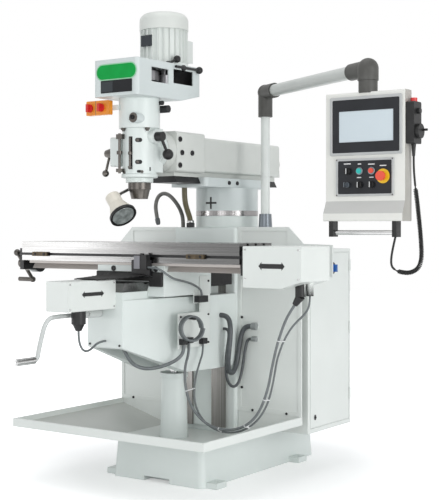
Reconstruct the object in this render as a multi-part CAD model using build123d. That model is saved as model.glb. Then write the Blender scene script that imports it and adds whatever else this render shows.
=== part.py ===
"""CNC knee milling machine with a hanging control panel, in mm.

Frame: the origin is on the floor under the middle of the base, +X is the operator's right,
+Y goes to the back and +Z is up. Each node is written to parts/ as one STEP file.
"""
import os
from math import cos, pi, radians, sin, tan

from build123d import *

os.makedirs("parts", exist_ok=True)

# Base, tray and column
BASE_W, BASE_L, BASE_H = 534, 998, 190
LUG_X, LUG_FRONT_Y, LUG_REAR_Y = 297, -430, 290
BOLT_R = 9
TRAY_W, TRAY_FRONT_Y, TRAY_TOP = 1094, -883, 300
RIM_H, RIM_T, SHEET = 38, 12, 4
TROUGH_W, TROUGH_FRONT_Y = 500, -475
COL_W, COL_FRONT_Y, COL_REAR_Y, COL_TOP = 370, -112, 330, 1190
WAY_ROOT, WAY_FACE, WAY_DEPTH, WAY_GAP = 129, 144, 25, 116
GUARD_Y, GUARD_T, GUARD_TOP, GUARD_X = -88, 8, 1191, 545
CABINET_X1, CABINET_Y0, CABINET_Y1 = 545, -30, 387
CABINET_Z0, CABINET_Z1 = 209, 1084

# Knee, saddle and table
GAP = 0.4
KNEE_W, KNEE_FRONT_Y, KNEE_TOP = 200, -866, 945
KNEE_WALL, KNEE_NOSE, KNEE_HEEL_Y = 18, 661, -466
JAW_W, JAW_Y, JAW_TOP, JAW_BOTTOM = 370, -262, 870, 523
CROSS_ROOT, CROSS_FACE, CROSS_H = 97, 112, 40
SCREW_Y, SCREW_R = -362, 19
PEDESTAL_R, PEDESTAL_TOP = 66, 501
SADDLE_W, SADDLE_Y0, SADDLE_Y1 = 386, -690, -330
SADDLE_TOP, SADDLE_SKIRT = 1018, 880
TABLE_X, TABLE_Y = -33, -573
TABLE_L, TABLE_W, TABLE_TOP, TABLE_T = 1270, 254, 1121, 90
SLOT_W, SLOT_NECK, SLOT_HEAD_W, SLOT_HEAD_H, SLOT_PITCH = 16, 18, 27, 12, 63.5
FEED_R, FEED_Z = 14, 1011
YBOX_W, YBOX_L, YBOX_Z0, YBOX_Z1 = 125, 306, 834, 962
END_PLATE = 17
XBOX_X0, XBOX_L, XBOX_Z0, XBOX_Z1 = TABLE_X + TABLE_L / 2 + END_PLATE, 286, 936, 1110
GROOVE_Z = TABLE_TOP - 59
CRANK_X, CRANK_Z = -30, 812

# Turret, ram and head
TURRET_Y, TURRET_R = 84, 157
RING_Z, BLOCK_Z, SLIDE_TOP = 1247, 1385, 1430
SLIDE_ROOT, SLIDE_FACE, SLIDE_H = 60, 75, 30
RAM_W, RAM_Z0, RAM_Z1 = 180, 1455, 1620
RAM_FRONT_Y, RAM_REAR_Y = -470, 440
TILT_Z, TILT_R, ADAPTER_Y = 1545, 97, -528
SPINDLE_Y = -623
QUILL_R, HOUSING_R, GEAR_R, HOUSING_Z0, HOUSING_Z1 = 43, 78, 94, 1415, 1640
BELT_W, BELT_Y0, BELT_Y1, BELT_Z0, BELT_Z1, BELT_WALL = 256, -795, -320, 1775, 1940, 6
BELT_KINK_Y, BELT_RISE = -470, 33
MOTOR_Y, MOTOR_R, MOTOR_TOP = -440, 108, 2192
PULLEY_R, PULLEY_STEP, PULLEY_H, PULLEY_Z = 70, 20, 44, BELT_Z0 + 37

# Pendant
POLE_X, POLE_Y, POLE_R = 275, 15, 22
ARM_Z, ARM_R = 1850, 29
PANEL_X, PANEL_Y = 1079, -450
PANEL_W, PANEL_T, PANEL_H, PANEL_Z1 = 366, 60, 536, ARM_Z - 99
PANEL_Z0 = PANEL_Z1 - PANEL_H
FASCIA_T = 6


def block(x0, x1, y0, y1, z0, z1):
    middle = Pos((x0 + x1) / 2, (y0 + y1) / 2, (z0 + z1) / 2)
    return middle * Box(abs(x1 - x0), abs(y1 - y0), abs(z1 - z0))


def rod(start, end, radius):
    start, end = Vector(*start), Vector(*end)
    along = end - start
    at = Plane(origin=start, z_dir=along)
    return at * Cylinder(radius, along.length, align=(Align.CENTER, Align.CENTER, Align.MIN))


def taper(start, end, radius_0, radius_1):
    start, end = Vector(*start), Vector(*end)
    along = end - start
    at = Plane(origin=start, z_dir=along)
    return at * Cone(radius_0, radius_1, along.length, align=(Align.CENTER, Align.CENTER, Align.MIN))


def prism(plane, points, depth):
    """The outline on a plane, drawn out by depth along the plane's normal."""
    return extrude(plane * make_face(Polyline(*points, close=True)), depth)


def across(points, x0, x1):
    """An outline of (y, z) points drawn out from x0 to x1."""
    return prism(Plane.YZ.offset(x0), points, x1 - x0)


def upward(points, z0, z1):
    """An outline of (x, y) points drawn out from z0 to z1."""
    return prism(Plane.XY.offset(z0), points, z1 - z0)


def backward(points, y0, y1):
    """An outline of (x, z) points drawn out from y0 to y1."""
    return prism(Plane(origin=(0, y0, 0), x_dir=(1, 0, 0), z_dir=(0, -1, 0)), points, y0 - y1)


def soft(shape, radius, axis=Axis.Z):
    return fillet(shape.edges().filter_by(axis), radius)


def tube(points, radius):
    """A bent bar or cord: straight runs joined by tangent arcs."""
    spots = [Vector(*p) for p in points]
    radii = []
    for a, b, c in zip(spots, spots[1:], spots[2:]):
        turn = radians((b - a).get_angle(c - b))
        radii.append(0.45 * min((b - a).length, (c - b).length) / tan(turn / 2))
    path = FilletPolyline(*spots, radius=radii)
    solid = sweep(Plane(origin=path @ 0, z_dir=path % 0) * Circle(radius), path)
    full = pi * radius**2 * path.length
    print("tube r", radius, "least bend", round(min(radii), 1), "volume share", round(solid.volume / full, 4))
    return solid


def biarcs(spots, tangents):
    edges = []
    for p, q, t, u in zip(spots, spots[1:], tangents, tangents[1:]):
        v = q - p
        both = t + u
        k = 2 * (1 - t.dot(u))
        reach = (-v.dot(both) + (v.dot(both) ** 2 + k * v.dot(v)) ** 0.5) / k
        middle = (p + q + (t - u) * reach) * 0.5
        edges.append(Edge.make_tangent_arc(p, t, middle))
        edges.append(Edge.make_tangent_arc(middle, edges[-1] % 1, q))
    return edges


def wound(edges, radius, skip):
    """A wound tube along its edges. Prints its least gap to itself past a share of its length."""
    path = Wire(edges)
    count = len(edges) * 4
    near = [path @ (i / count) for i in range(count + 1)]
    least = min((a - b).length for i, a in enumerate(near) for b in near[i + 8 * skip:])
    print("wound tube r", radius, "least gap to itself", round(least - 2 * radius, 2))
    return sweep(Plane(origin=path @ 0, z_dir=path % 0) * Circle(radius), path)


# Base and fixed frame


def base():
    lower = Plane.XY * RectangleRounded(BASE_W, BASE_L, 30)
    upper = Plane.XY.offset(BASE_H) * RectangleRounded(BASE_W - 24, BASE_L - 24, 30)
    body = loft([lower, upper])
    body -= block(-75, 75, -BASE_L / 2 - 5, -BASE_L / 2 + 60, 0, 22)
    body -= rod((0, SCREW_Y, BASE_H - 100), (0, SCREW_Y, BASE_H), SCREW_R + 5)
    for side in (-1, 1):
        for y in (LUG_FRONT_Y, LUG_REAR_Y):
            body += block(side * 240, side * (LUG_X + 26), y - 40, y + 40, 0, 28)
            body -= rod((side * LUG_X, y, -1), (side * LUG_X, y, 60), BOLT_R)
    return body


def chip_tray():
    back = GUARD_Y
    front, half, rim_z = TRAY_FRONT_Y, TRAY_W / 2, TRAY_TOP - RIM_H

    def ring(z, x, y0, y1):
        return Pos(0, (y0 + y1) / 2, z) * Rectangle(2 * x, y1 - y0)

    outer = loft([ring(BASE_H, TROUGH_W / 2, TROUGH_FRONT_Y, back), ring(rim_z, half, front, back)])
    outer += block(-half, half, front, back, rim_z, TRAY_TOP)
    wide, near, far = half - RIM_T, front + RIM_T, back - SHEET
    low = ring(BASE_H + SHEET, TROUGH_W / 2 - 6, TROUGH_FRONT_Y + 6, far)
    inner = loft([low, ring(rim_z + 14, wide, near, far)])
    inner += block(-wide, wide, near, far, rim_z + 14, TRAY_TOP + 1)
    tray = outer - inner
    notch, depth = COL_W / 2 + 2, COL_FRONT_Y - WAY_DEPTH - 8
    tray -= block(-notch, notch, depth, back + 1, BASE_H - 1, TRAY_TOP + 1)
    tray -= rod((0, SCREW_Y, BASE_H - 1), (0, SCREW_Y, BASE_H + 40), PEDESTAL_R + 4)
    return tray


def dovetail(root, face, depth, slot=False):
    """Outline of a dovetail slide as (across, out) points, or of its slot, which is GAP wider and deeper."""
    slope = (face - root) / depth
    start, end, aside = (-1, depth + GAP, 1.2 * GAP) if slot else (0, depth, 0)
    near, far = root + slope * start + aside, root + slope * end + aside
    return [(-near, start), (-far, end), (far, end), (near, start)]


def column():
    half = COL_W / 2
    body = block(-half, half, COL_FRONT_Y, COL_REAR_Y, BASE_H, COL_TOP)
    body = soft(body, 14)
    body = fillet(body.edges().group_by(Axis.Z)[-1], 12)
    body += rod((0, TURRET_Y, COL_TOP - 10), (0, TURRET_Y, RING_Z - 1), TURRET_R)
    body -= rod((0, TURRET_Y, COL_TOP - 30), (0, TURRET_Y, RING_Z), 60.5)
    way = [(x, COL_FRONT_Y - out) for x, out in dovetail(WAY_ROOT, WAY_FACE, WAY_DEPTH)]
    body += upward(way, BASE_H + 25, COL_TOP - 80)
    face = COL_FRONT_Y - WAY_DEPTH
    body -= block(-WAY_GAP / 2, WAY_GAP / 2, face - 1, face + 12, BASE_H + 24, COL_TOP - 79)
    return body


def rear_guard():
    inner, outer = COL_W / 2, GUARD_X
    edge = [
        (inner, TRAY_TOP), (outer, TRAY_TOP), (outer, 960), (outer + 166, 960), (outer + 166, 1108),
        (outer + 11, 1112), (outer - 71, GUARD_TOP), (inner, GUARD_TOP),
    ]
    front = GUARD_Y - GUARD_T
    sheets = []
    for side in (-1, 1):
        outline = [(side * x, z) for x, z in edge]
        sheet = backward(outline, GUARD_Y, front)
        for x1, z0, z1 in ((outer - 18, 320, 940), (outer - 78, 975, 1172)):
            sheet -= block(side * (inner + 20), side * x1, front - 1, front + 4, z0, z1)
        sheets.append(sheet)
    glands = []
    for z, radius in ((714, 17), (653, 12)):
        at = front + 4
        gland = rod((278, at - 16, z), (304, at - 16, z), radius)
        gland += block(281, 301, at - 16, at, z - radius, z + radius)
        glands.append(gland - block(270, 310, at, at + 30, z - 40, z + 40))
    return Compound(sheets + glands)


def cabinet():
    body = block(COL_W / 2, CABINET_X1, CABINET_Y0, CABINET_Y1, CABINET_Z0, CABINET_Z1)
    body = fillet(body.edges().group_by(Axis.X)[-1], 5)
    y0, y1, z0, z1 = CABINET_Y0 + 16, CABINET_Y1 - 16, CABINET_Z0 + 22, CABINET_Z1 - 16
    seam = block(CABINET_X1 - 3, CABINET_X1 + 1, y0, y1, z0, z1)
    seam -= block(CABINET_X1 - 4, CABINET_X1 + 2, y0 + 4, y1 - 4, z0 + 4, z1 - 4)
    return body - seam


def main_switch():
    x, y, z = CABINET_X1 + GAP, 202, 990
    return rod((x, y, z), (x + 10, y, z), 19) + block(x + 10, x + 26, y - 5, y + 5, z - 18, z + 18)


def screw_pedestal():
    post = taper((0, SCREW_Y, BASE_H), (0, SCREW_Y, PEDESTAL_TOP - 20), PEDESTAL_R, PEDESTAL_R - 7)
    post += rod((0, SCREW_Y, PEDESTAL_TOP - 22), (0, SCREW_Y, PEDESTAL_TOP), PEDESTAL_R)
    return post - rod((0, SCREW_Y, BASE_H - 1), (0, SCREW_Y, PEDESTAL_TOP + 1), SCREW_R + 0.6)


def pendant_pole():
    foot = CABINET_Z1
    pole = taper((POLE_X, POLE_Y, foot), (POLE_X, POLE_Y, foot + 171), 40, POLE_R + 8)
    pole += rod((POLE_X, POLE_Y, foot), (POLE_X, POLE_Y, foot + 12), 44)
    return pole + rod((POLE_X, POLE_Y, foot), (POLE_X, POLE_Y, ARM_Z - 60), POLE_R)


COOLANT = [
    (-150, -88, 1190), (-150, -88, 1228), (-155, -96, 1266), (-169, -108, 1302), (-190, -115, 1330),
    (-213, -121, 1352), (-241, -125, 1362), (-268, -128, 1354), (-285, -131, 1330), (-291, -133, 1298),
    (-287, -134, 1268), (-279, -134, 1232),
]
TURRET_LEAD = [
    (-96, -150, 1385), (-96, -150, 1350), (-97, -141, 1306), (-99, -118, 1266), (-101, -92, 1228),
    (-101, -92, 1190),
]


# Knee


def knee():
    half, neck, back = KNEE_W / 2, KNEE_TOP - CROSS_H, COL_FRONT_Y - GAP
    flare = [(-half, KNEE_FRONT_Y), (half, KNEE_FRONT_Y), (JAW_W / 2, JAW_Y), (-JAW_W / 2, JAW_Y)]
    side = [
        (KNEE_FRONT_Y, KNEE_NOSE), (KNEE_FRONT_Y, JAW_TOP), (JAW_Y, JAW_TOP), (JAW_Y, JAW_BOTTOM),
        (KNEE_HEEL_Y, JAW_BOTTOM),
    ]
    body = upward(flare, JAW_BOTTOM - 1, JAW_TOP + 1) & across(side, -JAW_W, JAW_W)
    body += block(-JAW_W / 2, JAW_W / 2, JAW_Y - 0.5, back, JAW_BOTTOM, JAW_TOP)
    body += block(-half, half, KNEE_FRONT_Y, back, JAW_TOP - 2, neck)
    slide = [(x, neck + out) for x, out in dovetail(CROSS_ROOT, CROSS_FACE, CROSS_H)]
    body += backward(slide, back, KNEE_FRONT_Y)
    room = [(x, COL_FRONT_Y - out) for x, out in dovetail(WAY_ROOT, WAY_FACE, WAY_DEPTH, True)]
    body -= upward(room, JAW_BOTTOM - 1, KNEE_TOP + 1)
    inside = half - KNEE_WALL
    body -= block(-inside, inside, KNEE_FRONT_Y + 20, JAW_Y - 10, JAW_BOTTOM - 1, neck - 20)
    return body


def knee_screw():
    return rod((0, SCREW_Y, 380), (0, SCREW_Y, KNEE_TOP - CROSS_H - 20), SCREW_R)


def y_box():
    front = KNEE_FRONT_Y - YBOX_L
    box = soft(block(-YBOX_W / 2, YBOX_W / 2, front, KNEE_FRONT_Y, YBOX_Z0, YBOX_Z1), 5, Axis.Y)
    plug = rod((26, -1066, YBOX_Z0 - 56), (26, -1066, YBOX_Z0), 31)
    plug += taper((26, -1066, 750), (26, -1066, YBOX_Z0 - 56), 13, 26)
    return Compound([box, plug])


Y_LEAD = [
    (26, -1066, 750), (26, -1066, 712), (24, -1046, 672), (18, -1010, 656), (10, -968, 662), (4, -912, 690),
    (4, -866, 690),
]
HOSE_LARGE = [
    (185, -240, 772), (212, -240, 772), (238, -244, 754), (250, -251, 718), (253, -258, 668), (248, -260, 610),
    (236, -252, 556), (227, -234, 520), (217, -206, 497), (208, -174, 491), (202, -145, 504), (200, -124, 534),
    (202, -114, 578), (207, -111, 624), (214, -109, 664), (226, -108, 694), (248, -108, 714), (278, -108, 714),
]
HOSE_SMALL = [
    (185, -215, 706), (202, -215, 706), (216, -217, 696), (220, -221, 672), (216, -224, 632), (207, -223, 587),
    (203, -221, 544), (200, -217, 500), (200, -206, 460), (204, -184, 431), (209, -156, 422), (216, -131, 440),
    (222, -119, 478), (228, -115, 522), (235, -113, 566), (241, -110, 606), (246, -108, 632), (256, -108, 653),
    (278, -108, 653),
]


def knee_hoses():
    return Compound([tube(HOSE_LARGE, 12), tube(HOSE_SMALL, 7)])


def knee_crank():
    x, z = CRANK_X, CRANK_Z
    grip_x, grip_z = x - 36, z - 177
    bends = [(x, -1136, z), (x, -1186, z - 3), (x - 5, -1210, z - 34), (x - 18, -1214, z - 84),
             (x - 30, -1217, z - 132), (grip_x, -1220, grip_z)]
    bar = tube([(x, KNEE_FRONT_Y, z), *bends, (grip_x, -1352, grip_z)], 10)
    return bar + rod((grip_x, -1238, grip_z), (grip_x, -1350, grip_z), 15) + rod((x, -950, z), (x, -868, z), 19)


# Saddle


def saddle():
    half, foot, top = SADDLE_W / 2, SADDLE_SKIRT, SADDLE_TOP
    neck = KNEE_TOP - CROSS_H
    body = block(-half, half, SADDLE_Y0, SADDLE_Y1, foot, top)
    room = [(x, neck + out) for x, out in dovetail(CROSS_ROOT, CROSS_FACE, CROSS_H, True)]
    body -= backward(room, SADDLE_Y1 + 1, SADDLE_Y0 - 1)
    body -= block(-KNEE_W / 2 - 1, KNEE_W / 2 + 1, SADDLE_Y0 - 1, SADDLE_Y1 + 1, foot - 1, neck + GAP)
    slide = [(TABLE_Y + y, top - out) for y, out in dovetail(80, 95, 26, True)]
    body -= across(slide, -half - 1, half + 1)
    nut = block(-40, 40, TABLE_Y - 22, TABLE_Y + 22, top - 40, FEED_Z + 19)
    nut -= rod((-41, TABLE_Y, FEED_Z), (41, TABLE_Y, FEED_Z), FEED_R + 0.6)
    return body + nut


def way_cover():
    half, back = SADDLE_W / 2 - 3, SADDLE_Y0
    apron = block(-half, half, back - 16, back, SADDLE_SKIRT + 45, SADDLE_TOP - 28)
    apron -= block(-CROSS_FACE - 6, CROSS_FACE + 6, back - 17, back + 1, SADDLE_SKIRT, KNEE_TOP + 5)
    apron -= block(28, 136, back - 17, back + 1, SADDLE_SKIRT + 90, SADDLE_TOP)
    return apron + block(-110, 110, back - 320, back, YBOX_Z1 + 2, YBOX_Z1 + 7)


def rear_bellows():
    half = SADDLE_W / 2 - 3
    body = block(-half, half, SADDLE_Y1, COL_FRONT_Y - 40, SADDLE_SKIRT + 35, SADDLE_TOP - 38)
    return body - block(-CROSS_FACE - 6, CROSS_FACE + 6, SADDLE_Y1 - 1, COL_FRONT_Y, SADDLE_SKIRT, KNEE_TOP + 5)


def limit_switch():
    plate = block(30, 134, -716, SADDLE_Y0, 972, 994) + block(30, 134, -718, -704, 972, 1044)
    return plate + block(64, 134, -742, -716, 1003, 1066) + block(92, 108, -734, -724, 1066, 1074)


COIL_AT, COIL_R, COIL_TURNS, COIL_PITCH, COIL_WIRE = Vector(250, -562, 735), 55, 3, 13, 5
COIL_TILT = radians(25)
COIL_OUT = Vector(cos(COIL_TILT), -sin(COIL_TILT), 0)


def cable_bracket():
    x = SADDLE_W / 2
    plate = block(x, x + 5, -425, -345, 640, 965) + block(x, x + 5, -590, -345, 640, 800)
    for y, z in ((-568, 660), (-524, 664), (-415, 652)):
        plate += block(x + 4, x + 28, y - 18, y + 18, z, z + 26)
    peg = COIL_AT + Vector(0, 0, COIL_R - COIL_WIRE - 5 - GAP)
    plate += rod(peg - COIL_OUT * 60, peg + COIL_OUT * 34, 5)
    return plate + block(x + 4, x + 34, -470, -400, 845, 875) + block(x, x + 5, -470, -400, 840, 900)


SWITCH_LEAD = [
    (134, -729, 1012), (172, -729, 1012), (206, -724, 1000), (226, -704, 978), (232, -670, 961),
    (231, -628, 954), (228, -584, 946), (225, -542, 938), (222, -502, 927), (220, -468, 913), (219, -440, 897),
    (219, -440, 875),
]
BUNDLE = [
    (212, -568, 660), (212, -568, 628), (198, -588, 599), (174, -611, 580), (144, -637, 565), (114, -668, 556),
    (86, -704, 557), (64, -738, 574), (54, -768, 604), (51, -790, 640), (50, -815, 674), (50, -846, 674),
]
POWER_LEAD = [
    (815, -600, 866), (788, -600, 830), (763, -598, 788), (740, -594, 738), (719, -590, 685), (702, -586, 630),
    (687, -583, 576), (674, -579, 522), (655, -576, 469), (631, -571, 419), (599, -566, 373), (557, -560, 336),
    (509, -556, 311), (455, -552, 297), (400, -550, 294), (346, -549, 303), (298, -550, 327), (260, -556, 364),
    (238, -566, 412), (226, -573, 464), (217, -570, 518), (211, -555, 570), (208, -524, 620), (208, -524, 664),
]
SIGNAL_LEAD = [
    (864, -560, 902), (864, -560, 864), (842, -560, 826), (806, -561, 796), (771, -562, 760), (743, -564, 716),
    (720, -564, 668), (702, -562, 619), (690, -559, 565), (677, -556, 512), (660, -552, 459), (636, -547, 410),
    (604, -542, 366), (563, -537, 329), (517, -532, 302), (466, -529, 285), (411, -526, 278), (357, -524, 284),
    (308, -522, 304), (268, -522, 338), (244, -524, 384), (234, -520, 436), (228, -506, 488), (222, -480, 534),
    (215, -448, 574), (208, -415, 610), (208, -415, 652),
]


def switch_cable():
    spots, tangents = [], []
    count = 4 * COIL_TURNS
    side, up = Vector(sin(COIL_TILT), cos(COIL_TILT), 0), Vector(0, 0, 1)
    climb = COIL_PITCH / (2 * pi)
    for i in range(count + 1):
        angle = 2 * pi * i / 4
        ray = side * cos(angle) + up * sin(angle)
        spots.append(COIL_AT + ray * COIL_R + COIL_OUT * (COIL_PITCH * (i / 4 - COIL_TURNS / 2)))
        tangents.append(((up * cos(angle) - side * sin(angle)) * COIL_R + COIL_OUT * climb).normalized())
    return Compound([tube(SWITCH_LEAD, COIL_WIRE), wound(biarcs(spots, tangents), COIL_WIRE, 2)])


# Table


def table():
    x0, x1 = TABLE_X - TABLE_L / 2, TABLE_X + TABLE_L / 2
    y0, y1 = TABLE_Y - TABLE_W / 2, TABLE_Y + TABLE_W / 2
    lower = TABLE_TOP - TABLE_T
    body = block(x0, x1, y0, y1, lower, TABLE_TOP)
    body += block(x0 + 40, x1 - 2, y0 + 10, y1 - 10, SADDLE_TOP + GAP, lower)
    slide = [(TABLE_Y + y, SADDLE_TOP + GAP - out) for y, out in dovetail(80, 95, 26)]
    body += across(slide, x0 + 40, x1 - 2)
    body -= block(x0 - 1, x1 + 1, TABLE_Y - 26, TABLE_Y + 26, 960, FEED_Z + 25)
    for y in (TABLE_Y - SLOT_PITCH, TABLE_Y, TABLE_Y + SLOT_PITCH):
        neck = TABLE_TOP - SLOT_NECK
        body -= block(x0 - 1, x1 + 1, y - SLOT_W / 2, y + SLOT_W / 2, neck - 1, TABLE_TOP + 1)
        body -= block(x0 - 1, x1 + 1, y - SLOT_HEAD_W / 2, y + SLOT_HEAD_W / 2, neck - SLOT_HEAD_H, neck)
    body -= block(x0 - 1, x1 + 1, y0 - 1, y0 + 8, GROOVE_Z - 6, GROOVE_Z + 6)
    return body


def table_fittings():
    x0, x1 = TABLE_X - TABLE_L / 2, TABLE_X + TABLE_L / 2
    y0 = TABLE_Y - TABLE_W / 2
    hole = rod((x0 - 60, TABLE_Y, FEED_Z), (x1 + 60, TABLE_Y, FEED_Z), FEED_R + 0.6)
    low, high = FEED_Z - 26, TABLE_TOP - 33
    left = block(x0 - 24, x0, y0 + 10, y0 + TABLE_W - 10, low, high)
    left += rod((x0 - 48, TABLE_Y, FEED_Z), (x0, TABLE_Y, FEED_Z), 42)
    right = block(x1, XBOX_X0, y0 + 10, y0 + TABLE_W - 10, low, high)
    dogs = [block(x, x + 95, y0 - 12, y0, GROOVE_Z - 10, GROOVE_Z + 10) for x in (x0 + 78, x1 - 272)]
    return Compound([left - hole, right - hole] + dogs)


def x_box():
    x0, x1 = XBOX_X0, XBOX_X0 + XBOX_L
    outline = [(x0, XBOX_Z0), (x1 - 97, XBOX_Z0), (x1, XBOX_Z0 + 30), (x1, XBOX_Z1), (x0, XBOX_Z1)]
    box = soft(backward(outline, TABLE_Y + TABLE_W / 2 - 20, TABLE_Y - TABLE_W / 2), 4, Axis.Y)
    a, b = x1 - 63, x1 - 41
    power = rod((a, -600, 900), (a, -600, 960), 22) + taper((a, -600, 902), (a - 27, -600, 866), 20, 12)
    signal = rod((b, -560, 902), (b, -560, 970), 16)
    return Compound([box, power - box, signal - box])


def x_screw():
    x0 = TABLE_X - TABLE_L / 2
    hub, y, z = x0 - 116, TABLE_Y, FEED_Z
    shaft = rod((hub - 16, y, z), (XBOX_X0, y, z), FEED_R)
    shaft += rod((x0 - 84, y, z), (x0 - 49, y, z), 36)
    shaft += rod((hub - 16, y, z), (hub + 20, y, z), 23)
    low, high = (hub, y + 65, z - 84), (hub, y - 44, z + 53)
    shaft += rod(low, high, 9) + Pos(*high) * Sphere(17) + Pos(*low) * Sphere(15)
    return shaft + rod(low, (hub - 92, low[1], low[2]), 11)


# Turret and ram


def turret():
    at = (0, TURRET_Y)
    body = rod((*at, RING_Z), (*at, BLOCK_Z), TURRET_R)
    body += rod((*at, COL_TOP + 10), (*at, RING_Z), 60)
    body += soft(block(-110, 110, -250, 330, BLOCK_Z, SLIDE_TOP), 20)
    room = [(x, SLIDE_TOP - out) for x, out in dovetail(SLIDE_ROOT, SLIDE_FACE, SLIDE_H, True)]
    return body - backward(room, 331, -251)


def ram():
    half = RAM_W / 2
    body = soft(block(-half, half, -250, RAM_REAR_Y, RAM_Z0, RAM_Z1), 14, Axis.Y)
    nose = block(-half - 8, half + 8, RAM_FRONT_Y, -248, TILT_Z - TILT_R, TILT_Z + TILT_R - 5)
    body += soft(nose, 14, Axis.Y)
    slide = [(x, SLIDE_TOP - out) for x, out in dovetail(SLIDE_ROOT, SLIDE_FACE, SLIDE_H)]
    body += backward(slide, RAM_REAR_Y, -440)
    body += block(-SLIDE_ROOT, SLIDE_ROOT, -440, RAM_REAR_Y, SLIDE_TOP, RAM_Z0 + 1)
    body += rod((0, RAM_REAR_Y, 1527), (0, RAM_REAR_Y + 90, 1527), 38)
    body += block(-55, 55, RAM_REAR_Y, RAM_REAR_Y + 58, RAM_Z0, 1490)
    adapter = rod((0, ADAPTER_Y, TILT_Z), (0, RAM_FRONT_Y, TILT_Z), TILT_R)
    return Compound([body, adapter])


# Head


def head_casting():
    body = rod((0, SPINDLE_Y, HOUSING_Z0), (0, SPINDLE_Y, HOUSING_Z1), HOUSING_R)
    body += block(-75, 75, SPINDLE_Y, -545, HOUSING_Z0 + 25, HOUSING_Z1)
    body += rod((0, -566, TILT_Z), (0, ADAPTER_Y - GAP, TILT_Z), TILT_R - 2)
    body += soft(block(-118, -60, -690, -590, 1468, 1602), 10, Axis.X)
    body += rod((60, SPINDLE_Y, 1600), (100, SPINDLE_Y, 1600), 32)
    body += block(-62, -28, -716, -690, 1590, 1612) + block(-62, -28, -716, -690, 1440, 1456)
    body += rod((-46, -710, 1434), (-46, -710, 1616), 6)
    body += rod((-46, -710, 1520), (-46, -710, 1536), 13)
    return body - rod((0, SPINDLE_Y, HOUSING_Z0 - 1), (0, SPINDLE_Y, HOUSING_Z1 + 1), QUILL_R + GAP)


def gear_housing():
    body = rod((0, SPINDLE_Y, HOUSING_Z1), (0, SPINDLE_Y, BELT_Z0), GEAR_R)
    body -= rod((0, SPINDLE_Y, HOUSING_Z1 - 1), (0, SPINDLE_Y, BELT_Z0 + 1), 48)
    dials = rod((52, -680, 1681), (52, -732, 1681), 24)
    dials += rod((70, -566, 1729), (124, -566, 1729), 17) + rod((70, -585, 1756), (106, -585, 1756), 10)
    return body + (dials - rod((0, SPINDLE_Y, 1600), (0, SPINDLE_Y, 1800), GEAR_R - 5))


def belt_housing():
    half, t = BELT_W / 2, BELT_WALL

    def profile(wall):
        y0, y1, z0, z1 = BELT_Y0 + wall, BELT_Y1 - wall, BELT_Z0 + wall, BELT_Z1 - wall
        return [(y0, z0), (BELT_KINK_Y, z0), (y1, z0 + BELT_RISE), (y1, z1), (y0, z1)]

    body = soft(across(profile(0), -half, half), 18) - soft(across(profile(t), t - half, half - t), 12)
    body -= rod((0, SPINDLE_Y, BELT_Z0 - 1), (0, SPINDLE_Y, BELT_Z0 + t + 1), 48)
    body -= rod((0, MOTOR_Y, BELT_Z1 - t - 1), (0, MOTOR_Y, BELT_Z1 + 1), 40)
    for y0, y1, lift in ((-696, -572, 67), (-534, -384, 75)):
        body -= block(-half - 1, half + 1, y0, y1, BELT_Z0 + lift, BELT_Z0 + lift + 65)
    return body


def motor():
    low, top = BELT_Z1, MOTOR_TOP - 82
    body = rod((0, MOTOR_Y, low), (0, MOTOR_Y, top), MOTOR_R - 8)
    body += rod((0, MOTOR_Y, low), (0, MOTOR_Y, low + 14), MOTOR_R + 6)
    for i in range(24):
        fin = block(MOTOR_R - 12, MOTOR_R + 4, -1.5, 1.5, low + 10, top)
        body += Pos(0, MOTOR_Y, 0) * Rot(0, 0, i * 15 + 7.5) * fin
    body += block(-45, 45, MOTOR_Y + 60, MOTOR_Y + MOTOR_R + 60, low + 35, low + 140)
    body -= rod((0, MOTOR_Y, low - 1), (0, MOTOR_Y, low + 60), 13)
    cowl = rod((0, MOTOR_Y, top), (0, MOTOR_Y, MOTOR_TOP), MOTOR_R + 7)
    return Compound([body, fillet(cowl.edges().group_by(Axis.Z)[-1], 38)])


def pulley(y, low, high, bore):
    foot, step, top = PULLEY_Z, PULLEY_Z + PULLEY_H, PULLEY_Z + 2 * PULLEY_H
    body = rod((0, y, foot), (0, y, step), low) + rod((0, y, step), (0, y, top), high)
    return body - rod((0, y, foot - 1), (0, y, top + 1), bore)


def spindle_pulley():
    return pulley(SPINDLE_Y, PULLEY_R, PULLEY_R + PULLEY_STEP, 14.6)


def motor_pulley():
    body = pulley(MOTOR_Y, PULLEY_R, PULLEY_R - PULLEY_STEP, 8)
    return body + rod((0, MOTOR_Y, PULLEY_Z), (0, MOTOR_Y, BELT_Z1 + 40), 12)


def drive_belt():
    low, high = PULLEY_Z + 12, PULLEY_Z + 38

    def loop(radius):
        ends = [rod((0, y, low), (0, y, high), radius) for y in (SPINDLE_Y, MOTOR_Y)]
        return ends[0] + ends[1] + block(-radius, radius, SPINDLE_Y, MOTOR_Y, low, high)

    return loop(PULLEY_R + 8) - loop(PULLEY_R + 0.6)


def switch_box():
    body = soft(block(-223, -86, -736, -711, 1702, 1768), 6, Axis.Y)
    body += block(-110, -50, -712, -692, 1724, 1746)
    return body - rod((0, SPINDLE_Y, 1600), (0, SPINDLE_Y, 1800), GEAR_R)


def switch_knob(x):
    y, z = -736 - GAP, 1735
    return rod((x, y, z), (x, y - 8, z), 19) + block(x - 6, x + 6, y - 24, y - 7, z - 18, z + 18)


def work_lamp():
    aim = Vector(0.68, -0.2, -0.7).normalized()
    rim = Vector(24, -765, 1238)
    lamp = rod(rim - aim * 14, rim, 62) + taper(rim - aim * 74, rim - aim * 14, 36, 58)
    lamp += rod(rim - aim * 128, rim - aim * 72, 34)
    lamp -= rod(rim - aim * 4, rim + aim * 1, 55)
    arm = [
        (-26, -745, 1305), (-32, -742, 1324), (-50, -700, 1342), (-68, -652, 1352), (-76, -604, 1366),
        (-70, -568, 1386), (-62, -560, 1412), (-62, -560, 1440),
    ]
    return lamp + tube(arm, 7)


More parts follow.
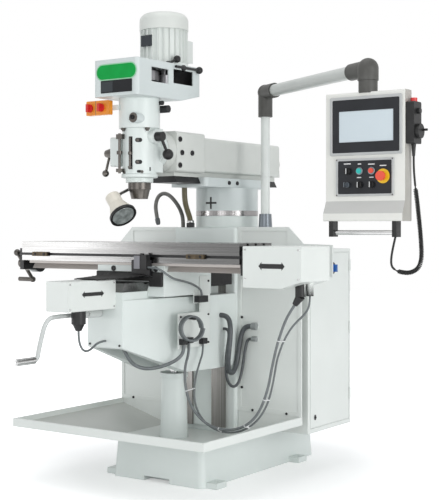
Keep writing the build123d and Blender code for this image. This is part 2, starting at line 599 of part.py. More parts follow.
def quill():
    body = rod((0, SPINDLE_Y, 1390), (0, SPINDLE_Y, 1612), QUILL_R)
    body += rod((0, SPINDLE_Y, 1362), (0, SPINDLE_Y, 1392), 52)
    return body - rod((0, SPINDLE_Y, 1361), (0, SPINDLE_Y, 1613), 26)


def spindle():
    body = rod((0, SPINDLE_Y, 1350), (0, SPINDLE_Y, 1612), 25.6)
    body += taper((0, SPINDLE_Y, 1319), (0, SPINDLE_Y, 1361.6), 38, 48)
    body += rod((0, SPINDLE_Y, 1610), (0, SPINDLE_Y, BELT_Z1 - 15), 14)
    return body - rod((0, SPINDLE_Y, 1318), (0, SPINDLE_Y, 1319 + 60), 10)


def quill_lever():
    x, y, z = 100 + GAP, SPINDLE_Y, 1600
    ball = (x + 30, y + 44, z - 79)
    hub = rod((x, y, z), (x + 36, y, z), 21) + rod((x + 22, y, z), ball, 7)
    return hub + Pos(*ball) * Sphere(25)


def feed_wheel():
    x, y, z = -118 - GAP, -655, 1530
    hub = taper((x, y, z), (x - 52, y, z), 30, 17)
    ball = (x - 40, y - 20, z - 92)
    return hub + rod((x - 30, y, z), ball, 6) + Pos(*ball) * Sphere(16)


# Pendant


def pendant_arm():
    corner = Vector(POLE_X, POLE_Y, ARM_Z)
    end = Vector(PANEL_X, PANEL_Y, ARM_Z)
    along = (end - corner).normalized()
    sleeve = rod((POLE_X, POLE_Y, ARM_Z - 121), corner, POLE_R + 13)
    body = sleeve + Pos(*corner) * Sphere(38) + rod(corner, corner + along * 100, 36)
    body += rod(corner + along * 60, end - along * 60, ARM_R)
    body += rod(end - along * 130, end, 36) + Pos(*end) * Sphere(44)
    body += rod(end - Vector(0, 0, 50), end, 44)
    body -= rod((POLE_X, POLE_Y, ARM_Z - 122), (POLE_X, POLE_Y, ARM_Z - 55), POLE_R + GAP)
    return body - rod(end - Vector(0, 0, 51), end - Vector(0, 0, 10), 20 + GAP)


def panel_box():
    back, front = PANEL_Y + PANEL_T / 2, PANEL_Y - PANEL_T / 2
    x0, x1 = PANEL_X - PANEL_W / 2, PANEL_X + PANEL_W / 2
    lip = front - 25
    low, high = PANEL_Z0, PANEL_Z1
    side = [(back, low), (lip, low), (lip, low + 31), (front, low + 85), (front, high), (back, high)]
    box = soft(across(side, x0, x1), 6, Axis.X)
    top = ARM_Z - 50 - GAP
    box += rod((PANEL_X, PANEL_Y, PANEL_Z1 - 5), (PANEL_X, PANEL_Y, top), 40)
    return box + rod((PANEL_X, PANEL_Y, top - 2), (PANEL_X, PANEL_Y, ARM_Z - 14), 20)


FRONT = PANEL_Y - PANEL_T / 2
ROW_1, ROW_2 = PANEL_Z0 + 208, PANEL_Z0 + 151
BUTTONS = {"start_button": (1058, ROW_1), "stop_button": (1114, ROW_1)}
ESTOP = (1166, PANEL_Z0 + 185)
TURNS = {"mode_selector": (1005, ROW_1), "override_selector": (1058, ROW_2), "speed_selector": (1114, ROW_2)}
KEY = (1003, ROW_2)


def panel_fascia():
    face = FRONT - FASCIA_T
    bezel = soft(block(920, 1243, face, FRONT, PANEL_Z1 - 254, PANEL_Z1 - 20), 8, Axis.Y)
    bezel -= block(949, 1212, face - 1, face + 2, PANEL_Z1 - 207, PANEL_Z1 - 67)
    plate = block(949, 1212, face, FRONT, PANEL_Z0 + 107, PANEL_Z0 + 258)
    plate += rod((ESTOP[0], face - 2, ESTOP[1]), (ESTOP[0], FRONT, ESTOP[1]), 30)
    for x, z in [*BUTTONS.values(), ESTOP]:
        plate -= rod((x, face - 4, z), (x, FRONT + 1, z), 11.5)
    return Compound([bezel, plate])


def push_button(x, z):
    face = FRONT - FASCIA_T
    return rod((x, face - 10, z), (x, face + 1, z), 11)


def estop_button():
    x, z = ESTOP
    face = FRONT - FASCIA_T
    return rod((x, face - 20, z), (x, face + 1, z), 11) + rod((x, face - 30, z), (x, face - 18, z), 20)


def selector(x, z):
    y = FRONT - FASCIA_T - GAP
    return rod((x, y - 12, z), (x, y, z), 14) + block(x - 4, x + 4, y - 20, y - 11, z - 13, z + 13)


def key_switch():
    x, z = KEY
    y = FRONT - FASCIA_T - GAP
    return rod((x, y - 8, z), (x, y, z), 11) + block(x - 1.5, x + 1.5, y - 34, y - 7, z - 10, z + 10)


def panel_handle():
    y, z = PANEL_Y - 32, PANEL_Z0 - 47
    body = rod((928, y, z), (1228, y, z), 10)
    for x in (922, 1214):
        body += block(x, x + 20, y - 20, y + 22, z - 18, PANEL_Z0)
    return body


MPG_X, MPG_Y, MPG_Z0, MPG_Z1 = PANEL_X + PANEL_W / 2, PANEL_Y + 10, PANEL_Z0 + 314, PANEL_Z0 + 485
DIAL = (MPG_X + 37, MPG_Y, PANEL_Z0 + 365)


def handwheel_unit():
    body = soft(block(MPG_X, MPG_X + 37, MPG_Y - 35, MPG_Y + 35, MPG_Z0, MPG_Z1), 8, Axis.X)
    body += rod((MPG_X + 20, MPG_Y, MPG_Z1 - 1), (MPG_X + 20, MPG_Y, MPG_Z1 + 16), 14)
    body += taper((MPG_X + 19, MPG_Y, MPG_Z0 + 1), (MPG_X + 19, MPG_Y, MPG_Z0 - 50), 10, 6)
    knob = MPG_Z1 - 38
    return body + rod((MPG_X + 36, MPG_Y, knob), (MPG_X + 50, MPG_Y, knob), 12)


def handwheel_dial():
    x, y, z = DIAL[0] + GAP, DIAL[1], DIAL[2]
    return rod((x, y, z), (x + 16, y, z), 30) + rod((x + 15, y + 18, z + 6), (x + 34, y + 18, z + 6), 5)


CURL_LINE = [
    (1283, 1352), (1291, 1296), (1297, 1240), (1304, 1180), (1309, 1118), (1311, 1066), (1300, 1026),
    (1270, 1006), (1234, 1002), (1200, 1010),
]
CURL_Y, CURLS, CURL_R, CURL_WIRE = -428, 46, 7.5, 2.6
CURL_TAIL = [
    (1176, -430, 1026), (1176, -433, 1062), (1188, -437, 1112), (1202, -440, 1160), (1210, -440, 1186),
    (1210, -440, 1215),
]


def handwheel_cord():
    line = FilletPolyline(*[(x, CURL_Y, z) for x, z in CURL_LINE], radius=30)
    aside = Vector(0, 1, 0)
    count = 4 * CURLS

    def spot(i):
        angle = 2 * pi * i / 4
        swell = CURL_R * min(1, i / 6, (count - i) / 6)
        over = aside.cross(line % (i / count))
        return (line @ (i / count)) + aside * (swell * cos(angle)) + over * (swell * sin(angle))

    spots = [spot(i) for i in range(count + 1)]
    exit_at = Vector(MPG_X + 19, MPG_Y, MPG_Z0 - 50)
    bend = exit_at - Vector(0, 0, 45)
    tangents = [(spots[0] - bend).normalized()]
    for i in range(1, count):
        tangents.append((spot(i + 0.02) - spot(i - 0.02)).normalized())
    tangents.append((Vector(*CURL_TAIL[0]) - spots[-1]).normalized())
    lead = FilletPolyline(exit_at, bend, spots[0], radius=120)
    tail = FilletPolyline(spots[-1], *CURL_TAIL, radius=14)
    return wound([*lead.edges(), *biarcs(spots, tangents), *tail.edges()], CURL_WIRE, 2)


nodes = {
    "base": base, "chip_tray": chip_tray, "column": column, "rear_guard": rear_guard, "cabinet": cabinet,
    "main_switch": main_switch, "screw_pedestal": screw_pedestal, "pendant_pole": pendant_pole,
    "coolant_hose": lambda: tube(COOLANT, 10), "turret_conduit": lambda: tube(TURRET_LEAD, 9),
    "knee": knee, "knee_screw": knee_screw, "y_box": y_box, "y_cable": lambda: tube(Y_LEAD, 5),
    "knee_hoses": knee_hoses, "knee_crank": knee_crank,
    "saddle": saddle, "way_cover": way_cover, "limit_switch": limit_switch, "cable_bracket": cable_bracket,
    "rear_bellows": rear_bellows, "switch_cable": switch_cable, "knee_bundle": lambda: tube(BUNDLE, 8),
    "x_power_cable": lambda: tube(POWER_LEAD, 6), "x_signal_cable": lambda: tube(SIGNAL_LEAD, 4.5),
    "table": table, "table_fittings": table_fittings, "x_box": x_box, "x_screw": x_screw,
    "turret": turret, "ram": ram,
    "head_casting": head_casting, "gear_housing": gear_housing, "belt_housing": belt_housing, "motor": motor,
    "drive_belt": drive_belt, "switch_box": switch_box, "work_lamp": work_lamp,
    "quill": quill, "spindle": spindle, "spindle_pulley": spindle_pulley, "motor_pulley": motor_pulley,
    "quill_lever": quill_lever, "feed_wheel": feed_wheel,
    "switch_knob_left": lambda: switch_knob(-200), "switch_knob_right": lambda: switch_knob(-132),
    "pendant_arm": pendant_arm, "panel_box": panel_box, "panel_fascia": panel_fascia,
    "panel_handle": panel_handle,
    "handwheel_unit": handwheel_unit, "handwheel_dial": handwheel_dial, "handwheel_cord": handwheel_cord,
    "estop_button": estop_button, "key_switch": key_switch,
}
for name, at in BUTTONS.items():
    nodes[name] = lambda at=at: push_button(*at)
for name, at in TURNS.items():
    nodes[name] = lambda at=at: selector(*at)

for name, make in nodes.items():
    export_step(make(), f"parts/{name}.step")
print(len(nodes), "nodes")
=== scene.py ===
"""A knee milling machine with a hanging control panel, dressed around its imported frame, in metres."""
import math

import bmesh
import bpy
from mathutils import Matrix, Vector


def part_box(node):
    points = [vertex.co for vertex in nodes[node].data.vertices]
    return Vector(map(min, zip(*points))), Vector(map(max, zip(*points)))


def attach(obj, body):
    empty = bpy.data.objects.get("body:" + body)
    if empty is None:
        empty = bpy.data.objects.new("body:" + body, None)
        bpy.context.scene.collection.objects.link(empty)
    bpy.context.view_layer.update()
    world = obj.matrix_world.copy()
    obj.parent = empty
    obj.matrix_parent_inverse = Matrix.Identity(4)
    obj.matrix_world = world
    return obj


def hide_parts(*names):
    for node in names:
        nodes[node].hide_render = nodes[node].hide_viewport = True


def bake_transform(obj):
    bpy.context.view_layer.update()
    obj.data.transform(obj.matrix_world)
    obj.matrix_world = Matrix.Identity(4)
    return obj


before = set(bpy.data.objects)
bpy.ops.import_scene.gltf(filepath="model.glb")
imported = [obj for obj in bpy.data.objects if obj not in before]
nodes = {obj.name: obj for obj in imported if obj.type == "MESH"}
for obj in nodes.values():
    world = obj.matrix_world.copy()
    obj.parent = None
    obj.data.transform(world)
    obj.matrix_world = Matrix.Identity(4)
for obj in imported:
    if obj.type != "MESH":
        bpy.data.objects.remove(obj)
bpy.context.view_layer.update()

# The studio: a pale floor, broad soft lamps and the photograph's viewpoint.
# The lens and its small downward shift keep the upright edges upright, as in the photograph.
scene = bpy.context.scene
scene.view_settings.view_transform = "Standard"
lens = bpy.data.cameras.new("photo_camera")
lens.sensor_width = 36.0
lens.lens = 82.2
lens.shift_y = -0.046
camera = bpy.data.objects.new("photo_camera", lens)
camera.location = (3.289, -4.698, 1.191)
camera.rotation_euler = (math.radians(90), 0, math.radians(34.9))
scene.collection.objects.link(camera)
scene.camera = camera


def softbox(name, place, aim, width, height, power):
    """A large rectangular lamp that looks at a point."""
    light = bpy.data.lights.new(name, "AREA")
    light.shape = "RECTANGLE"
    light.size = width
    light.size_y = height
    light.energy = power
    holder = bpy.data.objects.new(name, light)
    holder.location = place
    holder.rotation_euler = (Vector(aim) - Vector(place)).to_track_quat("-Z", "Y").to_euler()
    scene.collection.objects.link(holder)


softbox("table_lamp", (-4.51, -4.97, 0.95), (-0.4, -0.7, 1.05), 1.3, 1.1, 34)
softbox("front_lamp", (1.6, -6.4, 1.8), (0.1, -0.4, 0.7), 3.2, 2.6, 50)
softbox("side_lamp", (5.4, -2.0, 1.35), (0.2, -0.4, 0.7), 2.6, 2.4, 108)
softbox("top_lamp", (0.3, -1.2, 5.4), (0.2, -0.3, 1.0), 3.0, 3.0, 50)


def feed(tree, made, sockets):
    """Sets a node's inputs, each to a value or to the output that feeds it."""
    for key, value in sockets.items():
        if isinstance(value, bpy.types.NodeSocket):
            tree.links.new(value, made.inputs[key])
        else:
            made.inputs[key].default_value = value


def put(tree, kind, sockets=None, **settings):
    """Adds one node with its settings and its inputs."""
    made = tree.nodes.new(kind)
    for key, value in settings.items():
        setattr(made, key, value)
    feed(tree, made, sockets or {})
    return made


def seen_rays(tree):
    """One where a camera, mirror or glass ray looks, so that these see the white background."""
    path = put(tree, "ShaderNodeLightPath").outputs
    straight = {0: path["Is Camera Ray"], 1: path["Is Transmission Ray"]}
    either = put(tree, "ShaderNodeMath", straight, operation="MAXIMUM")
    mirrored = {0: either.outputs[0], 1: path["Is Glossy Ray"]}
    return put(tree, "ShaderNodeMath", mirrored, operation="MAXIMUM").outputs[0]


world = bpy.data.worlds.new("studio")
scene.world = world
world.use_nodes = True
sky = world.node_tree
sky.nodes.clear()
fill_light = put(sky, "ShaderNodeBackground", {"Color": (0.95, 0.98, 1.0, 1), "Strength": 0.63})
white_wall = put(sky, "ShaderNodeBackground", {"Color": (1, 1, 1, 1)})
chosen = put(sky, "ShaderNodeMixShader", {
    "Fac": seen_rays(sky), 1: fill_light.outputs[0], 2: white_wall.outputs[0],
})
put(sky, "ShaderNodeOutputWorld", {"Surface": chosen.outputs[0]})

REACH, SHADOW_EDGE, WHITE_EDGE, LEAST_GLOW = 14.0, 0.7, 2.0, 0.3
floor_mesh = bpy.data.meshes.new("studio_floor")
floor_corners = [(-REACH, -REACH, 0), (REACH, -REACH, 0), (REACH, REACH, 0), (-REACH, REACH, 0)]
floor_mesh.from_pydata(floor_corners, [], [(0, 1, 2, 3)])
floor = bpy.data.objects.new("studio_floor", floor_mesh)
scene.collection.objects.link(floor)
floor_paint = bpy.data.materials.new("studio_floor")
floor_paint.use_nodes = True
tree = floor_paint.node_tree
matt = tree.nodes["Principled BSDF"]
feed(tree, matt, {"Base Color": (0.86, 0.86, 0.86, 1), "Roughness": 0.9})
spot = put(tree, "ShaderNodeTexCoord")
away = put(tree, "ShaderNodeVectorMath", {0: spot.outputs["Object"]}, operation="LENGTH")
white_out = put(tree, "ShaderNodeMapRange", {
    "Value": away.outputs["Value"], "From Min": SHADOW_EDGE, "From Max": WHITE_EDGE, "To Min": LEAST_GLOW,
})
glow = put(tree, "ShaderNodeEmission", {"Strength": white_out.outputs[0]})
lit = put(tree, "ShaderNodeAddShader", {0: matt.outputs[0], 1: glow.outputs[0]})
only_seen = put(tree, "ShaderNodeMixShader", {"Fac": seen_rays(tree), 1: matt.outputs[0], 2: lit.outputs[0]})
feed(tree, tree.nodes["Material Output"], {"Surface": only_seen.outputs[0]})
floor_mesh.materials.append(floor_paint)


# The castings and sheet covers: grey iron and folded steel under one off-white machine enamel.
# Castings keep a fine sand texture under the paint, and sheets are smooth with a faint orange peel.
# The chip tray's two side slopes are painted a darker enamel as painted shade.
def surface(name, low, high, rough, metal=0.0, cloud=7.0, grain=260.0, relief=0.00015, stretch=(1, 1, 1),
            shine=0.5, edge=0.0):
    """A finish whose colour, gloss and relief vary over the piece. low and high are its two tones."""
    made = bpy.data.materials.new(name)
    made.use_nodes = True
    tree = made.node_tree
    where = put(tree, "ShaderNodeTexCoord")
    spread = put(tree, "ShaderNodeMapping", {"Vector": where.outputs["Object"], "Scale": stretch})
    clouds = put(tree, "ShaderNodeTexNoise", {"Vector": spread.outputs[0], "Scale": cloud, "Detail": 5.0})
    tones = put(tree, "ShaderNodeValToRGB", {"Fac": clouds.outputs["Fac"]})
    for stop, share, tone in zip(tones.color_ramp.elements, (0.3, 0.7), (low, high)):
        stop.position = share
        stop.color = (*tone, 1)
    fine = put(tree, "ShaderNodeTexNoise", {"Vector": spread.outputs[0], "Scale": grain, "Detail": 3.0})
    gloss = put(tree, "ShaderNodeMapRange", {
        "Value": fine.outputs["Fac"], "To Min": rough[0], "To Max": rough[1],
    })
    bumps = put(tree, "ShaderNodeBump", {"Height": fine.outputs["Fac"], "Strength": 0.6, "Distance": relief})
    if edge:
        rolled = put(tree, "ShaderNodeBevel", {"Radius": edge}, samples=4)
        feed(tree, bumps, {"Normal": rolled.outputs["Normal"]})
    feed(tree, tree.nodes["Principled BSDF"], {
        "Base Color": tones.outputs["Color"], "Metallic": metal, "Roughness": gloss.outputs[0],
        "Specular IOR Level": shine, "Normal": bumps.outputs["Normal"],
    })
    return made


def clad(node, main, *others):
    """Gives a CAD node its finish, and others, as (finish, test of a face's middle), where they apply."""
    mesh = nodes[node].data
    mesh.materials.clear()
    mesh.materials.append(main)
    for number, (finish, test) in enumerate(others, 1):
        mesh.materials.append(finish)
        for face in mesh.polygons:
            if test(face.center):
                face.material_index = number


casting_enamel = surface(
    "casting_enamel", (0.675, 0.725, 0.705), (0.715, 0.765, 0.745), (0.3, 0.46), 0, 5, 210, 0.0005, edge=0.004
)
sheet_enamel = surface(
    "sheet_enamel", (0.685, 0.715, 0.69), (0.72, 0.75, 0.725), (0.26, 0.36), 0, 4, 420, 0.00008, edge=0.002
)
tray_shade_enamel = surface(
    "tray_shade_enamel", (0.46, 0.475, 0.45), (0.52, 0.535, 0.51), (0.36, 0.5), 0, 4, 300, 0.0001, edge=0.002
)
upright_steel = surface(
    "upright_steel", (0.22, 0.21, 0.20), (0.33, 0.32, 0.31), (0.26, 0.45), 1.0, 5, 160, 0.00008, (30, 30, 0.4)
)
for node in ("base", "screw_pedestal"):
    clad(node, casting_enamel)
clad("chip_tray", sheet_enamel)
tray = nodes["chip_tray"].data
tray.materials.append(tray_shade_enamel)
# Faces that lean sideways and face up, the tray's side slopes, take the darker enamel: painted shade.
LEAST_LEAN, LEAST_RISE = 0.1, 0.5
for face in tray.polygons:
    if abs(face.normal.x) > LEAST_LEAN and face.normal.z > LEAST_RISE:
        face.material_index = 1
COLUMN_FRONT, GAP_HALF, WAY_FACE = -0.1125, 0.0575, -0.1365


def on_way(c):
    """The two ground ways on the column's front, but not the painted groove between them."""
    return c.y < COLUMN_FRONT and (abs(c.x) > GAP_HALF or c.y < WAY_FACE)


clad("column", casting_enamel, (upright_steel, on_way))

# The rear guard: two folded sheets that screw to the column's sides and stand in the tray.
# Its pressed panels are sunk, and two hose glands of cast alloy sit on the right sheet.
gland_alloy = surface(
    "gland_alloy", (0.30, 0.32, 0.32), (0.38, 0.40, 0.40), (0.35, 0.5), 0.6, 18, 260, 0.0001
)
black_oxide = surface(
    "black_oxide", (0.010, 0.010, 0.011), (0.022, 0.022, 0.024), (0.3, 0.5), 0, 20, 300, 0.0001, shine=0.3
)
GUARD_FACE = -0.096
clad("rear_guard", sheet_enamel, (gland_alloy, lambda c: c.y < GUARD_FACE - 0.001))


def screw_maker():
    """A node tree that sets a socket-head screw at each point, along the point's facing attribute."""
    tree = bpy.data.node_groups.new("socket_screws", "GeometryNodeTree")
    for name, way, kind in (
        ("Geometry", "INPUT", "Geometry"), ("Head radius", "INPUT", "Float"),
        ("Head height", "INPUT", "Float"), ("Finish", "INPUT", "Material"),
        ("Geometry", "OUTPUT", "Geometry"),
    ):
        tree.interface.new_socket(name, in_out=way, socket_type="NodeSocket" + kind)
    chamfer_rise, chamfer_width, mouth_width, socket_depth = 0.18, 0.88, 0.56, 0.7
    given = put(tree, "NodeGroupInput").outputs
    head = put(tree, "GeometryNodeMeshCylinder", {
        "Vertices": 24, "Radius": given["Head radius"], "Depth": given["Head height"],
    })
    rise = put(tree, "ShaderNodeMath", {0: given["Head height"], 1: chamfer_rise}, operation="MULTIPLY")
    chamfer = put(tree, "GeometryNodeExtrudeMesh", {
        "Mesh": head.outputs["Mesh"], "Selection": head.outputs["Top"], "Offset Scale": rise.outputs[0],
    }, mode="FACES")
    narrow = put(tree, "GeometryNodeScaleElements", {
        "Geometry": chamfer.outputs["Mesh"], "Selection": chamfer.outputs["Top"], "Scale": chamfer_width,
    })
    lip = put(tree, "GeometryNodeExtrudeMesh", {
        "Mesh": narrow.outputs["Geometry"], "Selection": chamfer.outputs["Top"], "Offset Scale": 0.0,
    }, mode="FACES")
    mouth = put(tree, "GeometryNodeScaleElements", {
        "Geometry": lip.outputs["Mesh"], "Selection": lip.outputs["Top"], "Scale": mouth_width,
    })
    sink = put(tree, "ShaderNodeMath", {0: given["Head height"], 1: -socket_depth}, operation="MULTIPLY")
    socket = put(tree, "GeometryNodeExtrudeMesh", {
        "Mesh": mouth.outputs["Geometry"], "Selection": lip.outputs["Top"], "Offset Scale": sink.outputs[0],
    }, mode="FACES")
    facing = put(tree, "GeometryNodeInputNamedAttribute", {"Name": "facing"}, data_type="FLOAT_VECTOR")
    turn = put(tree, "FunctionNodeAlignRotationToVector", {"Vector": facing.outputs["Attribute"]}, axis="Z")
    spread = put(tree, "GeometryNodeInstanceOnPoints", {
        "Points": given["Geometry"], "Instance": socket.outputs["Mesh"], "Rotation": turn.outputs["Rotation"],
    })
    real = put(tree, "GeometryNodeRealizeInstances", {"Geometry": spread.outputs["Instances"]})
    paint = put(tree, "GeometryNodeSetMaterial", {
        "Geometry": real.outputs["Geometry"], "Material": given["Finish"],
    })
    put(tree, "NodeGroupOutput", {"Geometry": paint.outputs["Geometry"]})
    return tree


screw_tree = screw_maker()


def screws(name, places, radius, height, finish, body):
    """Socket-head screws at (place, facing) pairs, as one plain mesh on a body."""
    points = bpy.data.meshes.new(name + "_places")
    points.from_pydata([Vector(p) + Vector(f).normalized() * (height / 2) for p, f in places], [], [])
    facing = points.attributes.new("facing", "FLOAT_VECTOR", "POINT")
    for entry, (_, f) in zip(facing.data, places):
        entry.vector = Vector(f).normalized()
    holder = bpy.data.objects.new(name, points)
    scene.collection.objects.link(holder)
    field = holder.modifiers.new("screws", "NODES")
    field.node_group = screw_tree
    values = {"Head radius": radius, "Head height": height, "Finish": finish}
    for item in screw_tree.interface.items_tree:
        if item.in_out == "INPUT" and item.name in values:
            field[item.identifier] = values[item.name]
    bpy.context.view_layer.update()
    view = bpy.context.evaluated_depsgraph_get()
    made = bpy.data.meshes.new_from_object(holder.evaluated_get(view))
    holder.modifiers.clear()
    holder.data = made
    made.shade_smooth()
    made.set_sharp_from_angle(angle=math.radians(35))
    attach(holder, body)
    return holder


guard_spots = ((0.212, 0.754), (0.212, 0.415), (0.273, 0.309), (0.465, 0.309))
guard_places = [((side * x, GUARD_FACE, z), (0, -1, 0)) for x, z in guard_spots for side in (-1, 1)]
screws("guard_screws", guard_places, 0.006, 0.004, black_oxide, "base")

# The electrical cabinet: a folded steel box on the column's right side with one door.
# A quarter-turn latch and three hinge knuckles show at the door's seam; the main switch is blue.
clad("cabinet", sheet_enamel)
blue_plastic = surface(
    "blue_plastic", (0.02, 0.10, 0.36), (0.03, 0.14, 0.44), (0.2, 0.34), 0, 30, 400, 0.00005
)
clad("main_switch", blue_plastic)


def turned(shape, profile, base, axis, sides=28):
    """Adds a turned part: rings of (radius, height) about an axis through base."""
    up = Vector(axis).normalized()
    side = up.orthogonal().normalized()
    over = up.cross(side)
    rings = []
    for radius, height in profile:
        middle = Vector(base) + up * height
        if radius < 1e-6:
            rings.append([shape.verts.new(middle)])
            continue
        angles = [2 * math.pi * i / sides for i in range(sides)]
        spots = [middle + side * (radius * math.cos(a)) + over * (radius * math.sin(a)) for a in angles]
        rings.append([shape.verts.new(spot) for spot in spots])
    for low, high in zip(rings, rings[1:]):
        for i in range(sides):
            j = (i + 1) % sides
            corners = [low[i % len(low)], low[j % len(low)], high[j % len(high)], high[i % len(high)]]
            loop = list(dict.fromkeys(corners))
            if len(loop) > 2:
                shape.faces.new(loop)
    if len(rings[0]) > 1:
        shape.faces.new(rings[0])
    if len(rings[-1]) > 1:
        shape.faces.new(rings[-1])


def plate(shape, outline, origin, along, up, thickness):
    """Adds a flat plate: an outline of (along, up) points from origin, thick along their cross product."""
    u, v = Vector(along).normalized(), Vector(up).normalized()
    out = u.cross(v) * thickness
    low = [shape.verts.new(Vector(origin) + u * a + v * b) for a, b in outline]
    high = [shape.verts.new(vert.co + out) for vert in low]
    shape.faces.new(low)
    shape.faces.new(high)
    for i in range(len(low)):
        j = (i + 1) % len(low)
        shape.faces.new((low[i], low[j], high[j], high[i]))


def rounded(width, height, radius, steps=6):
    """The outline of a rectangle with round corners, about its middle."""
    outline = []
    corners = ((1, 1, 0), (-1, 1, 90), (-1, -1, 180), (1, -1, 270))
    for sx, sy, start in corners:
        cx, cy = sx * (width / 2 - radius), sy * (height / 2 - radius)
        for i in range(steps + 1):
            a = math.radians(start + 90 * i / steps)
            outline.append((cx + radius * math.cos(a), cy + radius * math.sin(a)))
    return outline


def piece(name, shape, finish, body, bevel=0.0):
    """Turns a built shape into a piece that rides on a body."""
    bmesh.ops.recalc_face_normals(shape, faces=shape.faces)
    mesh = bpy.data.meshes.new(name)
    shape.to_mesh(mesh)
    shape.free()
    mesh.materials.append(finish)
    mesh.shade_smooth()
    mesh.set_sharp_from_angle(angle=math.radians(35))
    made = bpy.data.objects.new(name, mesh)
    scene.collection.objects.link(made)
    if bevel:
        edge = made.modifiers.new("edge", "BEVEL")
        edge.width = bevel
        edge.segments = 2
        edge.limit_method = "ANGLE"
        edge.harden_normals = False
    if body:
        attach(made, body)
    return made


def turned_piece(name, profile, base, axis, finish, body, sides=28):
    """A piece that is one turned part."""
    shape = bmesh.new()
    turned(shape, profile, base, axis, sides)
    return piece(name, shape, finish, body)


CABINET_FACE = 0.545
latch_place = (CABINET_FACE, 0.032, 0.282)
shape = bmesh.new()
plate(shape, rounded(0.014, 0.026, 0.007), latch_place, (0, 1, 0), (0, 0, 1), 0.003)
turned(shape, [(0.005, 0), (0.005, 0.006), (0.004, 0.007)], latch_place, (1, 0, 0))
piece("cabinet_latch", shape, black_oxide, "base", 0.0008)
knuckle = [(0.0, 0), (0.006, 0.001), (0.006, 0.059), (0, 0.06)]
shape = bmesh.new()
for z in (0.33, 0.66, 0.97):
    turned(shape, knuckle, (CABINET_FACE + 0.002, 0.3745, z), (0, 0, 1))
piece("cabinet_hinges", shape, sheet_enamel, "base")
switch_ring = [(0.030, 0), (0.030, 0.0015), (0.029, 0.002), (0.0205, 0.002), (0.0205, 0)]
turned_piece("main_switch_ring", switch_ring, (CABINET_FACE, 0.202, 0.99), (1, 0, 0), black_oxide, "base",
             40)


# Cords: each follows its route's points as the control points of one smooth spline.
# Rubber and plastic sheaths are swept along that line; those that cross a slide stay where they lie, on no
# body.
def smooth_line(points, fineness=6):
    """The line of a NURBS spline that has the route's points as its control points."""
    curve = bpy.data.curves.new("route", "CURVE")
    curve.dimensions = "3D"
    curve.resolution_u = fineness
    spline = curve.splines.new("NURBS")
    spline.points.add(len(points) - 1)
    for point, place in zip(spline.points, points):
        point.co = (*place, 1)
    spline.order_u = 3
    spline.use_endpoint_u = True
    holder = bpy.data.objects.new("route", curve)
    scene.collection.objects.link(holder)
    bpy.context.view_layer.update()
    view = bpy.context.evaluated_depsgraph_get()
    mesh = bpy.data.meshes.new_from_object(holder.evaluated_get(view))
    line = [v.co.copy() for v in mesh.vertices]
    bpy.data.objects.remove(holder)
    bpy.data.meshes.remove(mesh)
    return line


def run_length(line):
    """The length of a line."""
    return sum((b - a).length for a, b in zip(line, line[1:]))


def skin(shape, loops, closed=False):
    """Joins loops of corners by four-sided faces. It caps both ends, or closes on the first loop."""
    for near, far in zip(loops, loops[1:] + loops[:1] if closed else loops[1:]):
        for k in range(len(near)):
            j = (k + 1) % len(near)
            shape.faces.new((near[k], near[j], far[j], far[k]))
    if not closed:
        shape.faces.new(loops[0])
        shape.faces.new(loops[-1])


def sheath(shape, line, radius, sides=14):
    """Sweeps a round sheath along a line, without twist. radius may vary with the place's number."""
    size = radius if callable(radius) else (lambda i: radius)
    ahead = (line[1] - line[0]).normalized()
    side = ahead.orthogonal().normalized()
    rings = []
    for i, spot in enumerate(line):
        ahead = (line[min(i + 1, len(line) - 1)] - line[max(i - 1, 0)]).normalized()
        side = (side - ahead * side.dot(ahead)).normalized()
        over = ahead.cross(side)
        ring = []
        for k in range(sides):
            a = 2 * math.pi * k / sides
            ring.append(shape.verts.new(spot + (side * math.cos(a) + over * math.sin(a)) * size(i)))
        rings.append(ring)
    skin(shape, rings)


def cord(name, points, radius, finish, node, body=None, bends=None,
         fineness=6, sides=14, thick=None):
    """A cord along its route. It rides on a body, or stays where it lies on no body when bends is given; the
    bodies and places in bends, as (body, body, start, end), are not used.

    thick gives the radius at a share of the route's points, where it isn't the same throughout."""
    line = smooth_line(points, fineness)
    shape = bmesh.new()
    sheath(shape, line, (lambda i: thick(i / len(line))) if thick else radius, sides)
    made = piece(name, shape, finish, body)
    if bends:
        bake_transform(made)
    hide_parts(node)


coolant_sheath = surface(
    "coolant_sheath", (0.09, 0.09, 0.085), (0.15, 0.145, 0.135), (0.35, 0.5), 0, 40, 500, 0.0001
)
brown_sheath = surface(
    "brown_sheath", (0.10, 0.085, 0.045), (0.17, 0.145, 0.08), (0.35, 0.5), 0, 30, 500, 0.0001
)
grey_sheath = surface(
    "grey_sheath", (0.105, 0.118, 0.122), (0.145, 0.16, 0.165), (0.34, 0.48), 0, 40, 600, 0.00008
)
hose_rubber = surface(
    "hose_rubber", (0.055, 0.062, 0.066), (0.08, 0.088, 0.094), (0.34, 0.5), 0, 40, 600, 0.0001
)
bright_steel = surface(
    "bright_steel", (0.48, 0.48, 0.48), (0.60, 0.60, 0.60), (0.12, 0.24), 1.0, 12, 240, 0.00003
)
nozzle = [
    (0.0095, 0), (0.0125, 0.003), (0.0125, 0.022), (0.009, 0.034), (0.005, 0.034), (0.005, 0.03), (0, 0.03),
]
hose_tip = turned_piece("coolant_nozzle", nozzle, (-0.2794, -0.134, 1.236), (0.22, 0, -0.98), hose_rubber,
                        "base")
cord("coolant_line", [
    (-0.150, -0.088, 1.190), (-0.150, -0.088, 1.228), (-0.155, -0.096, 1.266), (-0.169, -0.108, 1.302),
    (-0.190, -0.115, 1.330), (-0.213, -0.121, 1.352), (-0.241, -0.125, 1.362), (-0.268, -0.128, 1.354),
    (-0.285, -0.131, 1.330), (-0.291, -0.133, 1.298), (-0.287, -0.134, 1.268), (-0.279, -0.134, 1.232),
], 0.010, coolant_sheath, "coolant_hose", "base")
